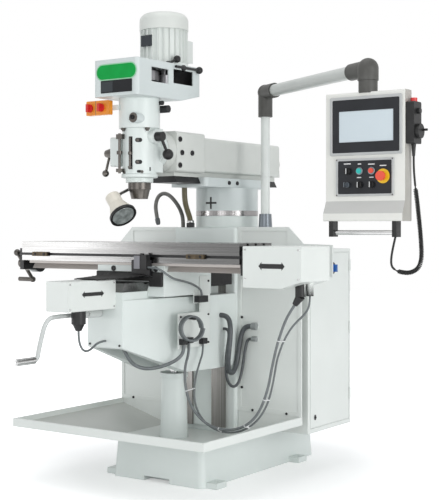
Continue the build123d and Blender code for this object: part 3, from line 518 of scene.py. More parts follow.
cord("turret_lead", [
    (-0.096, -0.150, 1.385), (-0.096, -0.150, 1.350), (-0.097, -0.141, 1.306), (-0.099, -0.118, 1.266),
    (-0.101, -0.092, 1.228), (-0.101, -0.092, 1.190),
], 0.0135, brown_sheath, "turret_conduit",
    bends=("turret", "base", (-0.097, -0.15, 1.37), (-0.101, -0.15, 1.22)))
conduit_nut = [(0.0205, 0), (0.0205, 0.02), (0.018, 0.022)]
turned_piece("conduit_nut", conduit_nut, (-0.101, -0.092, 1.190), (0, 0, 1), black_oxide, "base",
             6)
conduit_collar = [(0.017, 0), (0.018, 0.002), (0.018, 0.009), (0.0155, 0.013)]
turned_piece("conduit_collar", conduit_collar, (-0.101, -0.092, 1.212), (0, 0, 1), bright_steel, "base")
cord("y_drive_cable", [
    (0.026, -1.066, 0.750), (0.026, -1.066, 0.712), (0.024, -1.046, 0.672), (0.018, -1.010, 0.656),
    (0.010, -0.968, 0.662), (0.004, -0.912, 0.690), (0.004, -0.866, 0.690),
], 0.005, grey_sheath, "y_cable", "knee")
knee_bends = ("knee", "base", (0.2, -0.245, 0.6), (0.2, -0.112, 0.6))
cord("large_hose", [
    (0.185, -0.240, 0.772), (0.212, -0.240, 0.772), (0.238, -0.244, 0.754), (0.250, -0.251, 0.718),
    (0.253, -0.258, 0.668), (0.248, -0.260, 0.610), (0.236, -0.252, 0.556), (0.227, -0.234, 0.520),
    (0.217, -0.206, 0.497), (0.208, -0.174, 0.491), (0.202, -0.145, 0.504), (0.200, -0.124, 0.534),
    (0.202, -0.114, 0.578), (0.207, -0.111, 0.624), (0.214, -0.109, 0.664), (0.226, -0.108, 0.694),
    (0.248, -0.108, 0.714), (0.278, -0.108, 0.714),
], 0.012, hose_rubber, "knee_hoses", bends=knee_bends)
cord("small_hose", [
    (0.185, -0.215, 0.706), (0.202, -0.215, 0.706), (0.216, -0.217, 0.696), (0.220, -0.221, 0.672),
    (0.216, -0.224, 0.632), (0.207, -0.223, 0.587), (0.203, -0.221, 0.544), (0.200, -0.217, 0.500),
    (0.200, -0.206, 0.460), (0.204, -0.184, 0.431), (0.209, -0.156, 0.422), (0.216, -0.131, 0.440),
    (0.222, -0.119, 0.478), (0.228, -0.115, 0.522), (0.235, -0.113, 0.566), (0.241, -0.110, 0.606),
    (0.246, -0.108, 0.632), (0.256, -0.108, 0.653), (0.278, -0.108, 0.653),
], 0.007, hose_rubber, "knee_hoses", bends=knee_bends)
cord("limit_switch_lead", [
    (0.134, -0.729, 1.012), (0.172, -0.729, 1.012), (0.206, -0.724, 1.000), (0.226, -0.704, 0.978),
    (0.232, -0.670, 0.961), (0.231, -0.628, 0.954), (0.228, -0.584, 0.946), (0.225, -0.542, 0.938),
    (0.222, -0.502, 0.927), (0.220, -0.468, 0.913), (0.219, -0.440, 0.897), (0.219, -0.440, 0.875),
], 0.005, grey_sheath, "switch_cable", "saddle")
cord("knee_harness", [
    (0.212, -0.568, 0.660), (0.212, -0.568, 0.628), (0.198, -0.588, 0.599), (0.174, -0.611, 0.580),
    (0.144, -0.637, 0.565), (0.114, -0.668, 0.556), (0.086, -0.704, 0.557), (0.064, -0.738, 0.574),
    (0.054, -0.768, 0.604), (0.051, -0.790, 0.640), (0.050, -0.815, 0.674), (0.050, -0.846, 0.674),
], 0.008, grey_sheath, "knee_bundle",
    bends=("saddle", "knee", (0.2, -0.585, 0.6), (0.2, -0.80, 0.6)))
table_bends = ("table", "saddle", (0.80, -0.55, 0.6), (0.225, -0.55, 0.6))
power_route = [
    (0.815, -0.600, 0.866), (0.788, -0.600, 0.830), (0.763, -0.598, 0.788), (0.740, -0.594, 0.738),
    (0.719, -0.590, 0.685), (0.702, -0.586, 0.630), (0.687, -0.583, 0.576), (0.674, -0.579, 0.522),
    (0.655, -0.576, 0.469), (0.631, -0.571, 0.419), (0.599, -0.566, 0.373), (0.557, -0.560, 0.336),
    (0.509, -0.556, 0.311), (0.455, -0.552, 0.297), (0.400, -0.550, 0.294), (0.346, -0.549, 0.303),
    (0.298, -0.550, 0.327), (0.260, -0.556, 0.364), (0.238, -0.566, 0.412), (0.226, -0.573, 0.464),
    (0.217, -0.570, 0.518), (0.211, -0.555, 0.570), (0.208, -0.524, 0.620), (0.208, -0.524, 0.664),
]
signal_route = [
    (0.864, -0.560, 0.902), (0.864, -0.560, 0.864), (0.842, -0.560, 0.826), (0.806, -0.561, 0.796),
    (0.771, -0.562, 0.760), (0.743, -0.564, 0.716), (0.720, -0.564, 0.668), (0.702, -0.562, 0.619),
    (0.690, -0.559, 0.565), (0.677, -0.556, 0.512), (0.660, -0.552, 0.459), (0.636, -0.547, 0.410),
    (0.604, -0.542, 0.366), (0.563, -0.537, 0.329), (0.517, -0.532, 0.302), (0.466, -0.529, 0.285),
    (0.411, -0.526, 0.278), (0.357, -0.524, 0.284), (0.308, -0.522, 0.304), (0.268, -0.522, 0.338),
    (0.244, -0.524, 0.384), (0.234, -0.520, 0.436), (0.228, -0.506, 0.488), (0.222, -0.480, 0.534),
    (0.215, -0.448, 0.574), (0.208, -0.415, 0.610), (0.208, -0.415, 0.652),
]
white_nylon = surface(
    "white_nylon", (0.62, 0.63, 0.63), (0.70, 0.71, 0.71), (0.35, 0.5), 0, 60, 500, 0.00005
)
power_line, signal_line = smooth_line(power_route), smooth_line(signal_route)
TIE_WIDTH, TIE_HEIGHT, TIE_CORNER, TIE_SHARES = 0.004, 0.0138, 0.0068, (0.14, 0.36, 0.5, 0.62, 0.83)
TIE_ROOM, TIE_SHIFT = 0.0125, 0.0008
shape = bmesh.new()
for share in TIE_SHARES:
    number = round(share * (len(power_line) - 1))
    spot = power_line[number]
    other = min(signal_line, key=lambda place: (place - spot).length)
    ahead = (power_line[number + 1] - power_line[number - 1]).normalized()
    aside = other - spot
    aside = (aside - ahead * aside.dot(ahead)).normalized()
    width = (other - spot).length + TIE_ROOM
    middle = spot + aside * ((other - spot).length / 2 - TIE_SHIFT) - ahead * (TIE_WIDTH / 2)
    plate(shape, rounded(width, TIE_HEIGHT, TIE_CORNER), middle, aside, ahead.cross(aside), TIE_WIDTH)
ties = piece("cable_ties", shape, white_nylon, None)
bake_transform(ties)
cord("table_power_cable", power_route, 0.006, grey_sheath, "x_power_cable", bends=table_bends)
cord("table_signal_cable", signal_route, 0.0045, grey_sheath, "x_signal_cable",
     bends=table_bends)

# The spare cable: three turns of the limit switch's cable, hung on the cable plate's peg.
# It is the same grey sheath. A spline runs inside its points, so these lie a little further out.
COIL_MIDDLE = Vector((0.250, -0.562, 0.735))
COIL_RADIUS, COIL_TURNS, COIL_PITCH, COIL_WIRE = 0.055, 3, 0.013, 0.005
COIL_TILT, COIL_STEPS, COIL_SWELL = math.radians(25), 16, 1.012
coil_out = Vector((math.cos(COIL_TILT), -math.sin(COIL_TILT), 0))
coil_side = Vector((math.sin(COIL_TILT), math.cos(COIL_TILT), 0))
coil_points = []
for i in range(COIL_TURNS * COIL_STEPS + 1):
    angle = 2 * math.pi * i / COIL_STEPS
    ray = coil_side * math.cos(angle) + Vector((0, 0, 1)) * math.sin(angle)
    drift = coil_out * (COIL_PITCH * (i / COIL_STEPS - COIL_TURNS / 2))
    coil_points.append(COIL_MIDDLE + ray * (COIL_RADIUS * COIL_SWELL) + drift)
cord("spare_coil", coil_points, COIL_WIRE, grey_sheath, "switch_cable", "saddle",
     fineness=3)

# The knee: an iron casting that climbs the column, with the drive box of the cross slide in front.
# It is painted outside and bare on its slides; the folded box is screwed to the knee's nose.
ground_steel = surface(
    "ground_steel", (0.120, 0.119, 0.117), (0.178, 0.178, 0.178), (0.15, 0.25), 1.0, 5, 160, 0.00004,
    (0.4, 30, 30)
)
KNEE_SLIDE = 0.906
clad("knee", casting_enamel, (ground_steel, lambda c: c.z > KNEE_SLIDE))
clad("knee_screw", bright_steel)
black_plastic = surface(
    "black_plastic", (0.010, 0.010, 0.010), (0.018, 0.018, 0.019), (0.32, 0.5), 0, 30, 500, 0.00012, shine=0.3
)
YBOX_FOOT, YBOX_SIDE, NOSE_FACE = 0.833, 0.0625, -0.866
clad("y_box", sheet_enamel, (black_plastic, lambda c: c.z < YBOX_FOOT))
GRIP_Y = -1.2375
crank_enamel = surface(
    "crank_enamel", (0.52, 0.54, 0.53), (0.58, 0.60, 0.59), (0.3, 0.42), 0, 12, 300, 0.0001
)
clad("knee_crank", crank_enamel, (bright_steel, lambda c: c.y < GRIP_Y))
VINYL = 0.0006


def double_arrow(name, middle, along, up, body, length, shaft, head, reach):
    """A plain black double-headed arrow of vinyl that shows which way an axis moves."""
    half = length / 2
    neck = half - reach
    outline = [
        (-half, 0), (-neck, -head / 2), (-neck, -shaft / 2), (neck, -shaft / 2), (neck, -head / 2),
        (half, 0), (neck, head / 2), (neck, shaft / 2), (-neck, shaft / 2), (-neck, head / 2),
    ]
    shape = bmesh.new()
    plate(shape, outline, middle, along, up, VINYL)
    return piece(name, shape, black_plastic, body)


double_arrow("y_arrow", (YBOX_SIDE, -1.015, 0.905), (0, 1, 0), (0, 0, 1), "knee", 0.141, 0.016, 0.028, 0.016)
ybox_places = [((YBOX_SIDE, y, z), (1, 0, 0)) for y in (-1.16, -0.878) for z in (0.846, 0.95)]
ybox_places += [((-x, y, z), (-f, 0, 0)) for (x, y, z), (f, _, _) in ybox_places]
screws("y_box_screws", ybox_places, 0.0042, 0.003, bright_steel, "knee")
nose_places = [((x, NOSE_FACE, 0.673), (0, -1, 0)) for x in (-0.085, 0.085)]
screws("knee_nose_screws", nose_places, 0.005, 0.003, black_oxide, "knee")

# The saddle: an iron casting between knee and table, with rubber covers before and behind it.
# The front cover is a flat sheet and an apron screwed to the saddle; the rear one is a folded bellows.
black_rubber = surface(
    "black_rubber", (0.011, 0.011, 0.011), (0.021, 0.021, 0.021), (0.5, 0.7), 0, 30, 380, 0.0002, shine=0.3
)
clad("saddle", casting_enamel)


def front_plate(name, outline, place, thickness, finish, body, bevel=0.0):
    """A piece that is one flat plate facing the front, with its outline across and up from a place."""
    shape = bmesh.new()
    plate(shape, outline, place, (1, 0, 0), (0, 0, 1), thickness)
    return piece(name, shape, finish, body, bevel)


SADDLE_FRONT, SADDLE_BACK, SADDLE_HALF = -0.690, -0.330, 0.19
APRON_FOOT, APRON_STEP, APRON_TOP, APRON_THICK = 0.925, 0.9695, 0.99, 0.015
GATE_HALF, GATE_TOP = 0.118, 0.9505
apron_outline = [
    (-SADDLE_HALF, APRON_FOOT), (-GATE_HALF, APRON_FOOT), (-GATE_HALF, GATE_TOP), (GATE_HALF, GATE_TOP),
    (GATE_HALF, APRON_FOOT), (SADDLE_HALF, APRON_FOOT), (SADDLE_HALF, APRON_TOP), (0.136, APRON_TOP),
    (0.136, APRON_STEP), (0.028, APRON_STEP), (0.028, APRON_TOP), (-SADDLE_HALF, APRON_TOP),
]
apron = front_plate("saddle_apron", apron_outline, (0, SADDLE_FRONT, 0), APRON_THICK, black_rubber, "saddle",
                    0.004)
COVER_START, COVER_LENGTH, COVER_HALF, COVER_TAPER = SADDLE_FRONT - 0.0145, 0.29, 0.110, 0.046
COVER_FOLDS, COVER_WAVE, COVER_CLIMB, COVER_SAG, COVER_THICK = 9, 0.0016, 0.014, 0.0025, 0.0035
shape = bmesh.new()
rows = []
for i in range(4 * COVER_FOLDS + 1):
    share = i / (4 * COVER_FOLDS)
    y = COVER_START - COVER_LENGTH * share
    wave = COVER_WAVE * math.sin(2 * math.pi * COVER_FOLDS * share)
    top = APRON_STEP + COVER_CLIMB * (1 - share) ** 2 + wave
    half = COVER_HALF - COVER_TAPER * share ** 1.5
    spots = []
    for k in range(9):
        across = k / 4 - 1
        spots.append((half * across, y, top - COVER_SAG * across ** 4))
    under = [(x, y, z - COVER_THICK) for x, y, z in reversed(spots)]
    rows.append([shape.verts.new(spot) for spot in spots + under])
skin(shape, rows)
cover = piece("way_cover_sheet", shape, black_rubber, "saddle")
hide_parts("way_cover")
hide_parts("way_cover")
BELLOWS_FOLDS, BELLOWS_END, BELLOWS_FOOT, BELLOWS_TOP, FOLD_DEPTH = 11, -0.152, 0.915, 0.98, 0.006
shape = bmesh.new()
rows = []
for i in range(2 * BELLOWS_FOLDS + 1):
    y = SADDLE_BACK + (BELLOWS_END - SADDLE_BACK) * i / (2 * BELLOWS_FOLDS)
    inset = FOLD_DEPTH * (i % 2)
    wide, top = SADDLE_HALF - inset, BELLOWS_TOP - inset
    ring = [
        (-wide, BELLOWS_FOOT), (-GATE_HALF, BELLOWS_FOOT), (-GATE_HALF, GATE_TOP), (GATE_HALF, GATE_TOP),
        (GATE_HALF, BELLOWS_FOOT), (wide, BELLOWS_FOOT), (wide, top), (-wide, top),
    ]
    rows.append([shape.verts.new((x, y, z)) for x, z in ring])
skin(shape, rows)
bellows = piece("rear_way_bellows", shape, black_rubber, None)
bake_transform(bellows)
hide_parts("rear_bellows")
saddle_places = [((x, SADDLE_FRONT, 1.003), (0, -1, 0)) for x in (-0.097, 0.148)]
screws("saddle_bolts", saddle_places, 0.0125, 0.004, black_oxide, "saddle")

# The limit switch and the cable plate: an alloy-capped switch on the saddle's front, and a white
# folded plate on its right side whose black clips hold the cables.
alloy = surface("alloy", (0.19, 0.19, 0.21), (0.24, 0.24, 0.26), (0.4, 0.55), 0.1, 12, 300, 0.0001)
SWITCH_LEFT, SWITCH_BACK, SWITCH_FRONT = 0.0641, -0.7161, -0.742
clad("limit_switch", black_oxide, (black_plastic, lambda c: c.x > SWITCH_LEFT and c.y < SWITCH_BACK))
front_plate("limit_switch_cap", rounded(0.032, 0.058, 0.002), (0.0815, SWITCH_FRONT, 1.0345), 0.003, alloy,
            "saddle")
PLATE_FACE = 0.198
clad("cable_bracket", sheet_enamel, (black_oxide, lambda c: c.x > PLATE_FACE + 0.001))
plate_spots = ((-0.575, 0.785), (-0.36, 0.785), (-0.36, 0.655), (-0.36, 0.94))
plate_places = [((PLATE_FACE, y, z), (1, 0, 0)) for y, z in plate_spots]
screws("cable_plate_screws", plate_places, 0.005, 0.004, black_oxide, "saddle")

# The table: ground cast iron with three T-slots along its top and a trip-dog groove in front.
# Its end brackets are black; the right one carries the drive box, the left one the hand crank.
bronze = surface("bronze", (0.045, 0.034, 0.022), (0.10, 0.075, 0.045), (0.4, 0.55), 0.7, 60, 300, 0.00008)
slide_steel = surface(
    "slide_steel", (0.38, 0.35, 0.33), (0.48, 0.45, 0.43), (0.35, 0.5), 0.3, 5, 160, 0.00004, (0.4, 30, 30)
)
TABLE_FRONT, GROOVE_LOW, GROOVE_HIGH, GROOVE_DEPTH, DOG_FOOT = -0.7, 1.0545, 1.0675, 0.008, 1.05


def in_shaded_groove(c):
    """The trip-dog groove along the table's front, painted black as painted shade."""
    return 0.0005 < c.y - TABLE_FRONT < GROOVE_DEPTH + 0.0005 and GROOVE_LOW < c.z < GROOVE_HIGH


def on_dog(c):
    """The trip dogs, which stand out in front of the table."""
    return c.y < TABLE_FRONT - 0.0005 and c.z > DOG_FOOT


BOSS_X, TABLE_FOOT = -0.6925, 1.0305
# The trip-dog groove is painted black as painted shade.
clad("table", ground_steel, (black_oxide, in_shaded_groove), (slide_steel, lambda c: c.z < TABLE_FOOT))
clad("table_fittings", black_oxide, (bronze, on_dog), (gland_alloy, lambda c: c.x < BOSS_X))
XBOX_FOOT = 0.9355
clad("x_box", sheet_enamel, (black_plastic, lambda c: c.z < XBOX_FOOT))
dark_steel = surface(
    "dark_steel", (0.07, 0.065, 0.06), (0.13, 0.12, 0.11), (0.22, 0.4), 1.0, 16, 260, 0.00006
)
CRANK_X = -0.66
clad("x_screw", bright_steel, (dark_steel, lambda c: c.x < CRANK_X))
double_arrow("x_arrow", (0.762, TABLE_FRONT, 1.028), (1, 0, 0), (0, 0, 1), "table", 0.128, 0.020, 0.034,
             0.015)
xbox_places = [((x, TABLE_FRONT, z), (0, -1, 0)) for x in (0.632, 0.892) for z in (0.976, 1.096)]
screws("x_box_screws", xbox_places, 0.0042, 0.003, bright_steel, "table")
dog_places = [((x, TABLE_FRONT - 0.0115, 1.062), (0, -1, 0)) for x in (-0.572, -0.514, 0.348, 0.406)]
screws("trip_dog_screws", dog_places, 0.006, 0.003, black_oxide, "table")

# The turret and ram: the turret swivels on the column's top over a ring ruled every three degrees.
# The ram slides through it on a dovetail, with socket bolts round its nose.
turret_enamel = surface(
    "turret_enamel", (0.58, 0.63, 0.625), (0.62, 0.67, 0.665), (0.3, 0.44), 0, 5, 230, 0.0003, edge=0.004
)
ram_enamel = surface(
    "ram_enamel", (0.60, 0.62, 0.59), (0.645, 0.665, 0.635), (0.32, 0.46), 0, 5, 230, 0.0004, edge=0.004
)
clad("turret", turret_enamel)
# The ram's dovetail below RAM_WAY is bare steel, painted near-black as painted shade under the ram.
RAM_WAY = 1.428
clad("ram", ram_enamel, (black_oxide, lambda c: c.z < RAM_WAY))
TURRET_Y, RING_FOOT, RING_TOP, RING_RADIUS, RING_INSIDE = 0.084, 1.2475, 1.272, 0.1578, 0.150
RING_MARKS, MARK_SHARE = 120, 0.16
ruled_steel = surface(
    "ruled_steel", (0.46, 0.47, 0.48), (0.55, 0.56, 0.57), (0.2, 0.3), 1.0, 12, 240, 0.00003
)
tree = ruled_steel.node_tree
spot = put(tree, "ShaderNodeTexCoord")
parts = put(tree, "ShaderNodeSeparateXYZ", {0: spot.outputs["Object"]})
across = put(tree, "ShaderNodeMath", {0: parts.outputs["Y"], 1: TURRET_Y}, operation="SUBTRACT")
bearing = put(tree, "ShaderNodeMath", {0: across.outputs[0], 1: parts.outputs["X"]}, operation="ARCTAN2")
per_turn = {0: bearing.outputs[0], 1: RING_MARKS / (2 * math.pi)}
count = put(tree, "ShaderNodeMath", per_turn, operation="MULTIPLY")
place = put(tree, "ShaderNodeMath", {0: count.outputs[0]}, operation="FRACT")
rule = put(tree, "ShaderNodeValToRGB", {"Fac": place.outputs[0]})
rule.color_ramp.interpolation = "CONSTANT"
mark, gap = rule.color_ramp.elements
mark.color = (0.03, 0.03, 0.03, 1)
gap.position = MARK_SHARE
gap.color = (0.34, 0.33, 0.33, 1)
feed(tree, tree.nodes["Principled BSDF"], {"Base Color": rule.outputs["Color"]})
ring_height = RING_TOP - RING_FOOT
ring = [(RING_INSIDE, 0), (RING_RADIUS, 0), (RING_RADIUS, ring_height), (RING_INSIDE, ring_height)]
turned_piece("turret_ring", ring, (0, TURRET_Y, RING_FOOT), (0, 0, 1), ruled_steel, "turret",
             120)
BAND_SUNK, BAND_PROUD = -0.001, 0.0007


def band(shape, middle, radius, start, stop, low, high, steps, round_ends=False):
    """Adds a thin plate bent round an upright cylinder, between two bearings and two heights."""
    columns = []
    span = math.radians(stop - start) * radius
    half = (high - low) / 2
    for i in range(steps + 1):
        a = math.radians(start + (stop - start) * i / steps)
        ray = Vector((math.cos(a), math.sin(a), 0))
        column = []
        short = max(0.0, half - span * min(i, steps - i) / steps) if round_ends else 0.0
        trim = half - math.sqrt(max(half * half - short * short, 1e-7))
        foot, head = low + trim, high - trim
        for out, z in ((BAND_SUNK, foot), (BAND_PROUD, foot), (BAND_PROUD, head), (BAND_SUNK, head)):
            column.append(shape.verts.new(Vector((*middle, z)) + ray * (radius + out)))
        columns.append(column)
    skin(shape, columns)


shape = bmesh.new()
band(shape, (0, TURRET_Y), 0.157, -97.4, -75.0, 1.306, 1.315, 12)
band(shape, (0, TURRET_Y), 0.1573, -88.0, -84.6, 1.281, 1.340, 2)
piece("turret_cross", shape, black_plastic, "turret")
TURRET_SIDE, RAM_SIDE = 0.110, 0.098
turret_places = [((side * TURRET_SIDE, y, 1.408), (side, 0, 0)) for side in (-1, 1) for y in (-0.059, 0.011)]
screws("turret_bolts", turret_places, 0.010, 0.005, black_oxide, "turret")
ram_spots = ((-0.446, 1.600), (-0.43, 1.538), (-0.351, 1.540), (-0.446, 1.479))
ram_places = [((side * RAM_SIDE, y, z), (side, 0, 0)) for side in (-1, 1) for y, z in ram_spots]
screws("ram_bolts", ram_places, 0.0125, 0.005, black_oxide, "ram")

# The head: a quill housing bolted to the ram's face, with gears, belt drive and motor above.
# Castings are enamelled; the levers, the depth stop and the dials are black or ground steel.
STOP_BACK, STOP_SIDE = -0.7005, -0.027
clad("head_casting", casting_enamel, (dark_steel, lambda c: c.y < STOP_BACK and c.x < STOP_SIDE))
SPINDLE, QUILL_RADIUS, GEAR_RADIUS, DIAL_BACK = (0.0, -0.623), 0.078, 0.094, -0.69


def off_gears(c):
    """The range dial and the gear knob, which stand out of the round gear housing."""
    return math.hypot(c.x - SPINDLE[0], c.y - SPINDLE[1]) > GEAR_RADIUS + 0.0005


def on_dial(c):
    """The range dial, in front."""
    return off_gears(c) and c.y < DIAL_BACK


clad("gear_housing", casting_enamel, (black_oxide, off_gears), (turret_enamel, on_dial))
HOUSING_FRONT, HOUSING_BACK, HOUSING_SIDE, HOUSING_FOOT, HOUSING_TOP = -0.795, -0.320, 0.128, 1.775, 1.940
HOUSING_WALL = 0.0055


def in_shaded_housing(c):
    """The inside of the folded belt housing, behind its walls, painted black as painted shade."""
    inside = HOUSING_FRONT + HOUSING_WALL < c.y < HOUSING_BACK - HOUSING_WALL
    inside = inside and HOUSING_FOOT + HOUSING_WALL < c.z < HOUSING_TOP - HOUSING_WALL
    return inside and abs(c.x) < HOUSING_SIDE - HOUSING_WALL


clad("belt_housing", turret_enamel, (black_oxide, in_shaded_housing))
COWL_FOOT = 2.1175
clad("motor", sheet_enamel, (ram_enamel, lambda c: c.z > COWL_FOOT))
clad("drive_belt", black_rubber)
pulley_alloy = surface(
    "pulley_alloy", (0.22, 0.22, 0.23), (0.34, 0.34, 0.35), (0.25, 0.42), 1.0, 15, 300, 0.00005
)
clad("spindle_pulley", pulley_alloy)
clad("motor_pulley", pulley_alloy)
clad("quill", dark_steel)
clad("spindle", dark_steel)
clad("quill_lever", black_plastic)
clad("feed_wheel", dark_steel)


def ball(shape, middle, radius):
    """Adds a ball."""
    turns = [math.pi * i / 10 for i in range(11)]
    profile = [(radius * math.sin(t), radius * (1 - math.cos(t))) for t in turns]
    turned(shape, profile, Vector(middle) - Vector((0, 0, radius)), (0, 0, 1), 24)


def bar(shape, start, end, radius):
    """Adds a round bar between two places."""
    way = Vector(end) - Vector(start)
    turned(shape, [(radius, 0), (radius, way.length)], start, way, 20)


shape = bmesh.new()
bar(shape, (0.112, -0.552, HOUSING_TOP - 0.004), (0.116, -0.508, 1.960), 0.006)
turned(shape, [(0.012, 0), (0.012, 0.006), (0.009, 0.009)], (0.112, -0.552, HOUSING_TOP), (0, 0, 1))
ball(shape, (0.118, -0.494, 1.965), 0.017)
turned(shape, [(0.014, 0), (0.014, 0.008), (0.010, 0.012)], (HOUSING_SIDE, -0.462, 1.926), (1, 0, 0))
bar(shape, (HOUSING_SIDE + 0.010, -0.530, 1.926), (HOUSING_SIDE + 0.012, -0.362, 1.927), 0.006)
ball(shape, (HOUSING_SIDE + 0.012, -0.350, 1.927), 0.017)
piece("belt_levers", shape, black_plastic, "head")
green_enamel = surface(
    "green_enamel", (0.003, 0.30, 0.05), (0.004, 0.34, 0.06), (0.2, 0.3), 0, 20, 400, 0.00003, shine=0.15
)
pale_green = surface(
    "pale_green", (0.28, 0.56, 0.36), (0.32, 0.60, 0.40), (0.25, 0.35), 0, 20, 400, 0.00003, shine=0.15
)
capsule_place = (0.006, HOUSING_FRONT, 1.8835)
front_plate("capsule_border", rounded(0.234, 0.074, 0.0369, 14), capsule_place, 0.0012, pale_green, "head")
front_plate("front_capsule", rounded(0.224, 0.064, 0.0319, 14), capsule_place, 0.002, green_enamel, "head",
            0.0006)
window_black = surface(
    "window_black", (0.008, 0.009, 0.011), (0.012, 0.013, 0.016), (0.12, 0.2), 0, 10, 200, 0.00002, shine=0.25
)
window_grey = surface(
    "window_grey", (0.03, 0.036, 0.042), (0.04, 0.046, 0.052), (0.2, 0.3), 0, 10, 200, 0.00002, shine=0.25
)
WINDOW_THICK = 0.002
front_plate("readout_window", rounded(0.180, 0.056, 0.003), (0.007, HOUSING_FRONT, 1.818), WINDOW_THICK,
            window_black, "head", 0.0005)
front_plate("readout_panel", rounded(0.066, 0.046, 0.002), (-0.046, HOUSING_FRONT - WINDOW_THICK, 1.818),
            0.0006, window_grey, "head")
front_plate("motor_plate", rounded(0.065, 0.052, 0.003), (-0.0155, -0.552, 2.054), 0.0015, window_grey,
            "head")


def around(middle, radius, degrees, z):
    """A place on an upright cylinder, with the way it faces."""
    a = math.radians(degrees)
    ray = Vector((math.cos(a), math.sin(a), 0))
    return Vector((*middle, z)) + ray * radius, ray


# Thin black plates on the quill housing stand for its slots: painted shade in the openings.
shape = bmesh.new()
for low, high, start, stop in ((1.574, 1.593, -66, -42), (1.475, 1.494, -66, -42), (1.436, 1.448, -60, -45)):
    band(shape, SPINDLE, QUILL_RADIUS, start, stop, low, high, 14, True)
band(shape, SPINDLE, QUILL_RADIUS, -89, -75, 1.452, 1.600, 6)
band(shape, SPINDLE, QUILL_RADIUS, -16, -11, 1.445, 1.462, 4)
piece("quill_housing_slot_shade", shape, black_plastic, "head")
head_spots = ((-57, 1.5835), (-57, 1.4845), (-43, 1.4405), (-110, 1.439))
head_places = [around(SPINDLE, 0.0782, degrees, z) for degrees, z in head_spots]
screws("head_screws", head_places, 0.0065, 0.005, dark_steel, "head")
shape = bmesh.new()
foot, _ = around(SPINDLE, 0.0835, -82, 1.462)
turned(shape, [(0.0035, 0), (0.0035, 0.132)], foot, (0, 0, 1), 16)
turned(shape, [(0.008, 0.055), (0.009, 0.056), (0.009, 0.068), (0.008, 0.069)], foot, (0, 0, 1), 24)
turned(shape, [(0.009, -0.008), (0.009, 0.004)], foot, (0, 0, 1), 6)
piece("depth_screw", shape, dark_steel, "head")
housing_foot = [(0.079, 0), (0.083, 0.002), (0.083, 0.016), (0.0775, 0.019)]
turned_piece("quill_housing_foot", housing_foot, (*SPINDLE, 1.4148), (0, 0, 1), casting_enamel, "head",
             56)
COLLAR_FOOT, COLLAR_SIDES = 1.3932, 48
collar_loop = [(0.0455, 0), (0.061, 0), (0.063, 0.002), (0.063, 0.0215), (0.0455, 0.0215)]
shape = bmesh.new()
rings = []
for radius, height in collar_loop:
    ring = []
    for i in range(COLLAR_SIDES):
        a = 2 * math.pi * i / COLLAR_SIDES
        spot = (SPINDLE[0] + radius * math.cos(a), SPINDLE[1] + radius * math.sin(a), COLLAR_FOOT + height)
        ring.append(shape.verts.new(spot))
    rings.append(ring)
skin(shape, rings, closed=True)
piece("quill_collar", shape, casting_enamel, "head")
shape = bmesh.new()
for degrees in (-110, -26.5, 153, 70):
    spot, _ = around(SPINDLE, 0.086, degrees, 1.640)
    turned(shape, [(0.011, 0), (0.011, 0.009), (0.009, 0.010)], spot, (0, 0, -1), 6)
    turned(shape, [(0.006, 0.0095), (0.006, 0.015), (0.005, 0.016)], spot, (0, 0, -1), 16)
piece("gear_housing_nuts", shape, dark_steel, "head")
# A thin black plate on the gear housing stands for the slot beside the range dial: painted shade.
shape = bmesh.new()
band(shape, SPINDLE, GEAR_RADIUS, -81, -68, 1.673, 1.685, 6)
piece("range_slot_shade", shape, black_plastic, "head")
dial_ring = [(0.0225, 0), (0.0225, 0.002), (0.0215, 0.003)]
turned_piece("range_dial_ring", dial_ring, (0.052, -0.732, 1.681), (0, -1, 0), dark_steel, "head",
             36)
shape = bmesh.new()
turned(shape, [(0.011, 0), (0.011, 0.006), (0.009, 0.008)], (0.048, -0.7345, 1.683), (0, -1, 0), 36)
plate(shape, rounded(0.005, 0.018, 0.0024), (0.048, -0.741, 1.683), (0.8, 0, 0.6), (-0.6, 0, 0.8), 0.006)
piece("range_dial_knob", shape, black_plastic, "head", 0.0006)
orange_plastic = surface(
    "orange_plastic", (0.72, 0.24, 0.01), (0.78, 0.28, 0.02), (0.25, 0.38), 0, 30, 400, 0.00008
)
red_plastic = surface(
    "red_plastic", (0.56, 0.02, 0.02), (0.64, 0.03, 0.03), (0.2, 0.34), 0, 30, 400, 0.00005
)
SWITCH_FOOT = -0.0855
clad("switch_box", orange_plastic, (sheet_enamel, lambda c: c.x > SWITCH_FOOT))
clad("switch_knob_left", red_plastic)
clad("switch_knob_right", red_plastic)
seam = [(-0.0012, -0.033), (0.0012, -0.033), (0.0012, 0.033), (-0.0012, 0.033)]
front_plate("switch_box_seam", seam, (-0.166, -0.736, 1.735), 0.0004, coolant_sheath, "head")

# The work lamp: a spun cream shade with a black rim, on a bent steel arm under the head.
# A bright dished reflector sits inside the rim; its mottled light and dark grey are painted reflections.
cream_enamel = surface(
    "cream_enamel", (0.66, 0.62, 0.54), (0.72, 0.68, 0.60), (0.3, 0.42), 0, 12, 300, 0.0001
)
lamp_aim = Vector((0.68, -0.2, -0.7)).normalized()
lamp_rim = Vector((0.024, -0.765, 1.238))
RIM_DEPTH, NECK_DEPTH, NECK_RADIUS, SHADE_DEPTH = 0.0142, 0.0745, 0.036, 0.129


def lamp_depth(c):
    """How far a place lies behind the lamp's rim."""
    return (lamp_rim - c).dot(lamp_aim)


def on_rim(c):
    """The black rim."""
    return lamp_depth(c) < RIM_DEPTH


def on_arm(c):
    """The arm, behind the shade or beside its neck."""
    beside = (c - lamp_rim).cross(lamp_aim).length > NECK_RADIUS
    return lamp_depth(c) > SHADE_DEPTH or (lamp_depth(c) > NECK_DEPTH and beside)


clad("work_lamp", cream_enamel, (black_plastic, on_rim), (dark_steel, on_arm))
lamp_painted_reflection = surface(
    "lamp_painted_reflection", (0.16, 0.18, 0.175), (0.42, 0.46, 0.45), (0.08, 0.2), 0.2, 34, 120, 0.0006
)
dish = [
    (0.052, -0.0035), (0.050, -0.0012), (0.030, -0.0022), (0.016, -0.0026), (0.010, -0.0006), (0, -0.0002),
]
turned_piece("lamp_reflector", dish, lamp_rim, lamp_aim, lamp_painted_reflection, "head", 36)

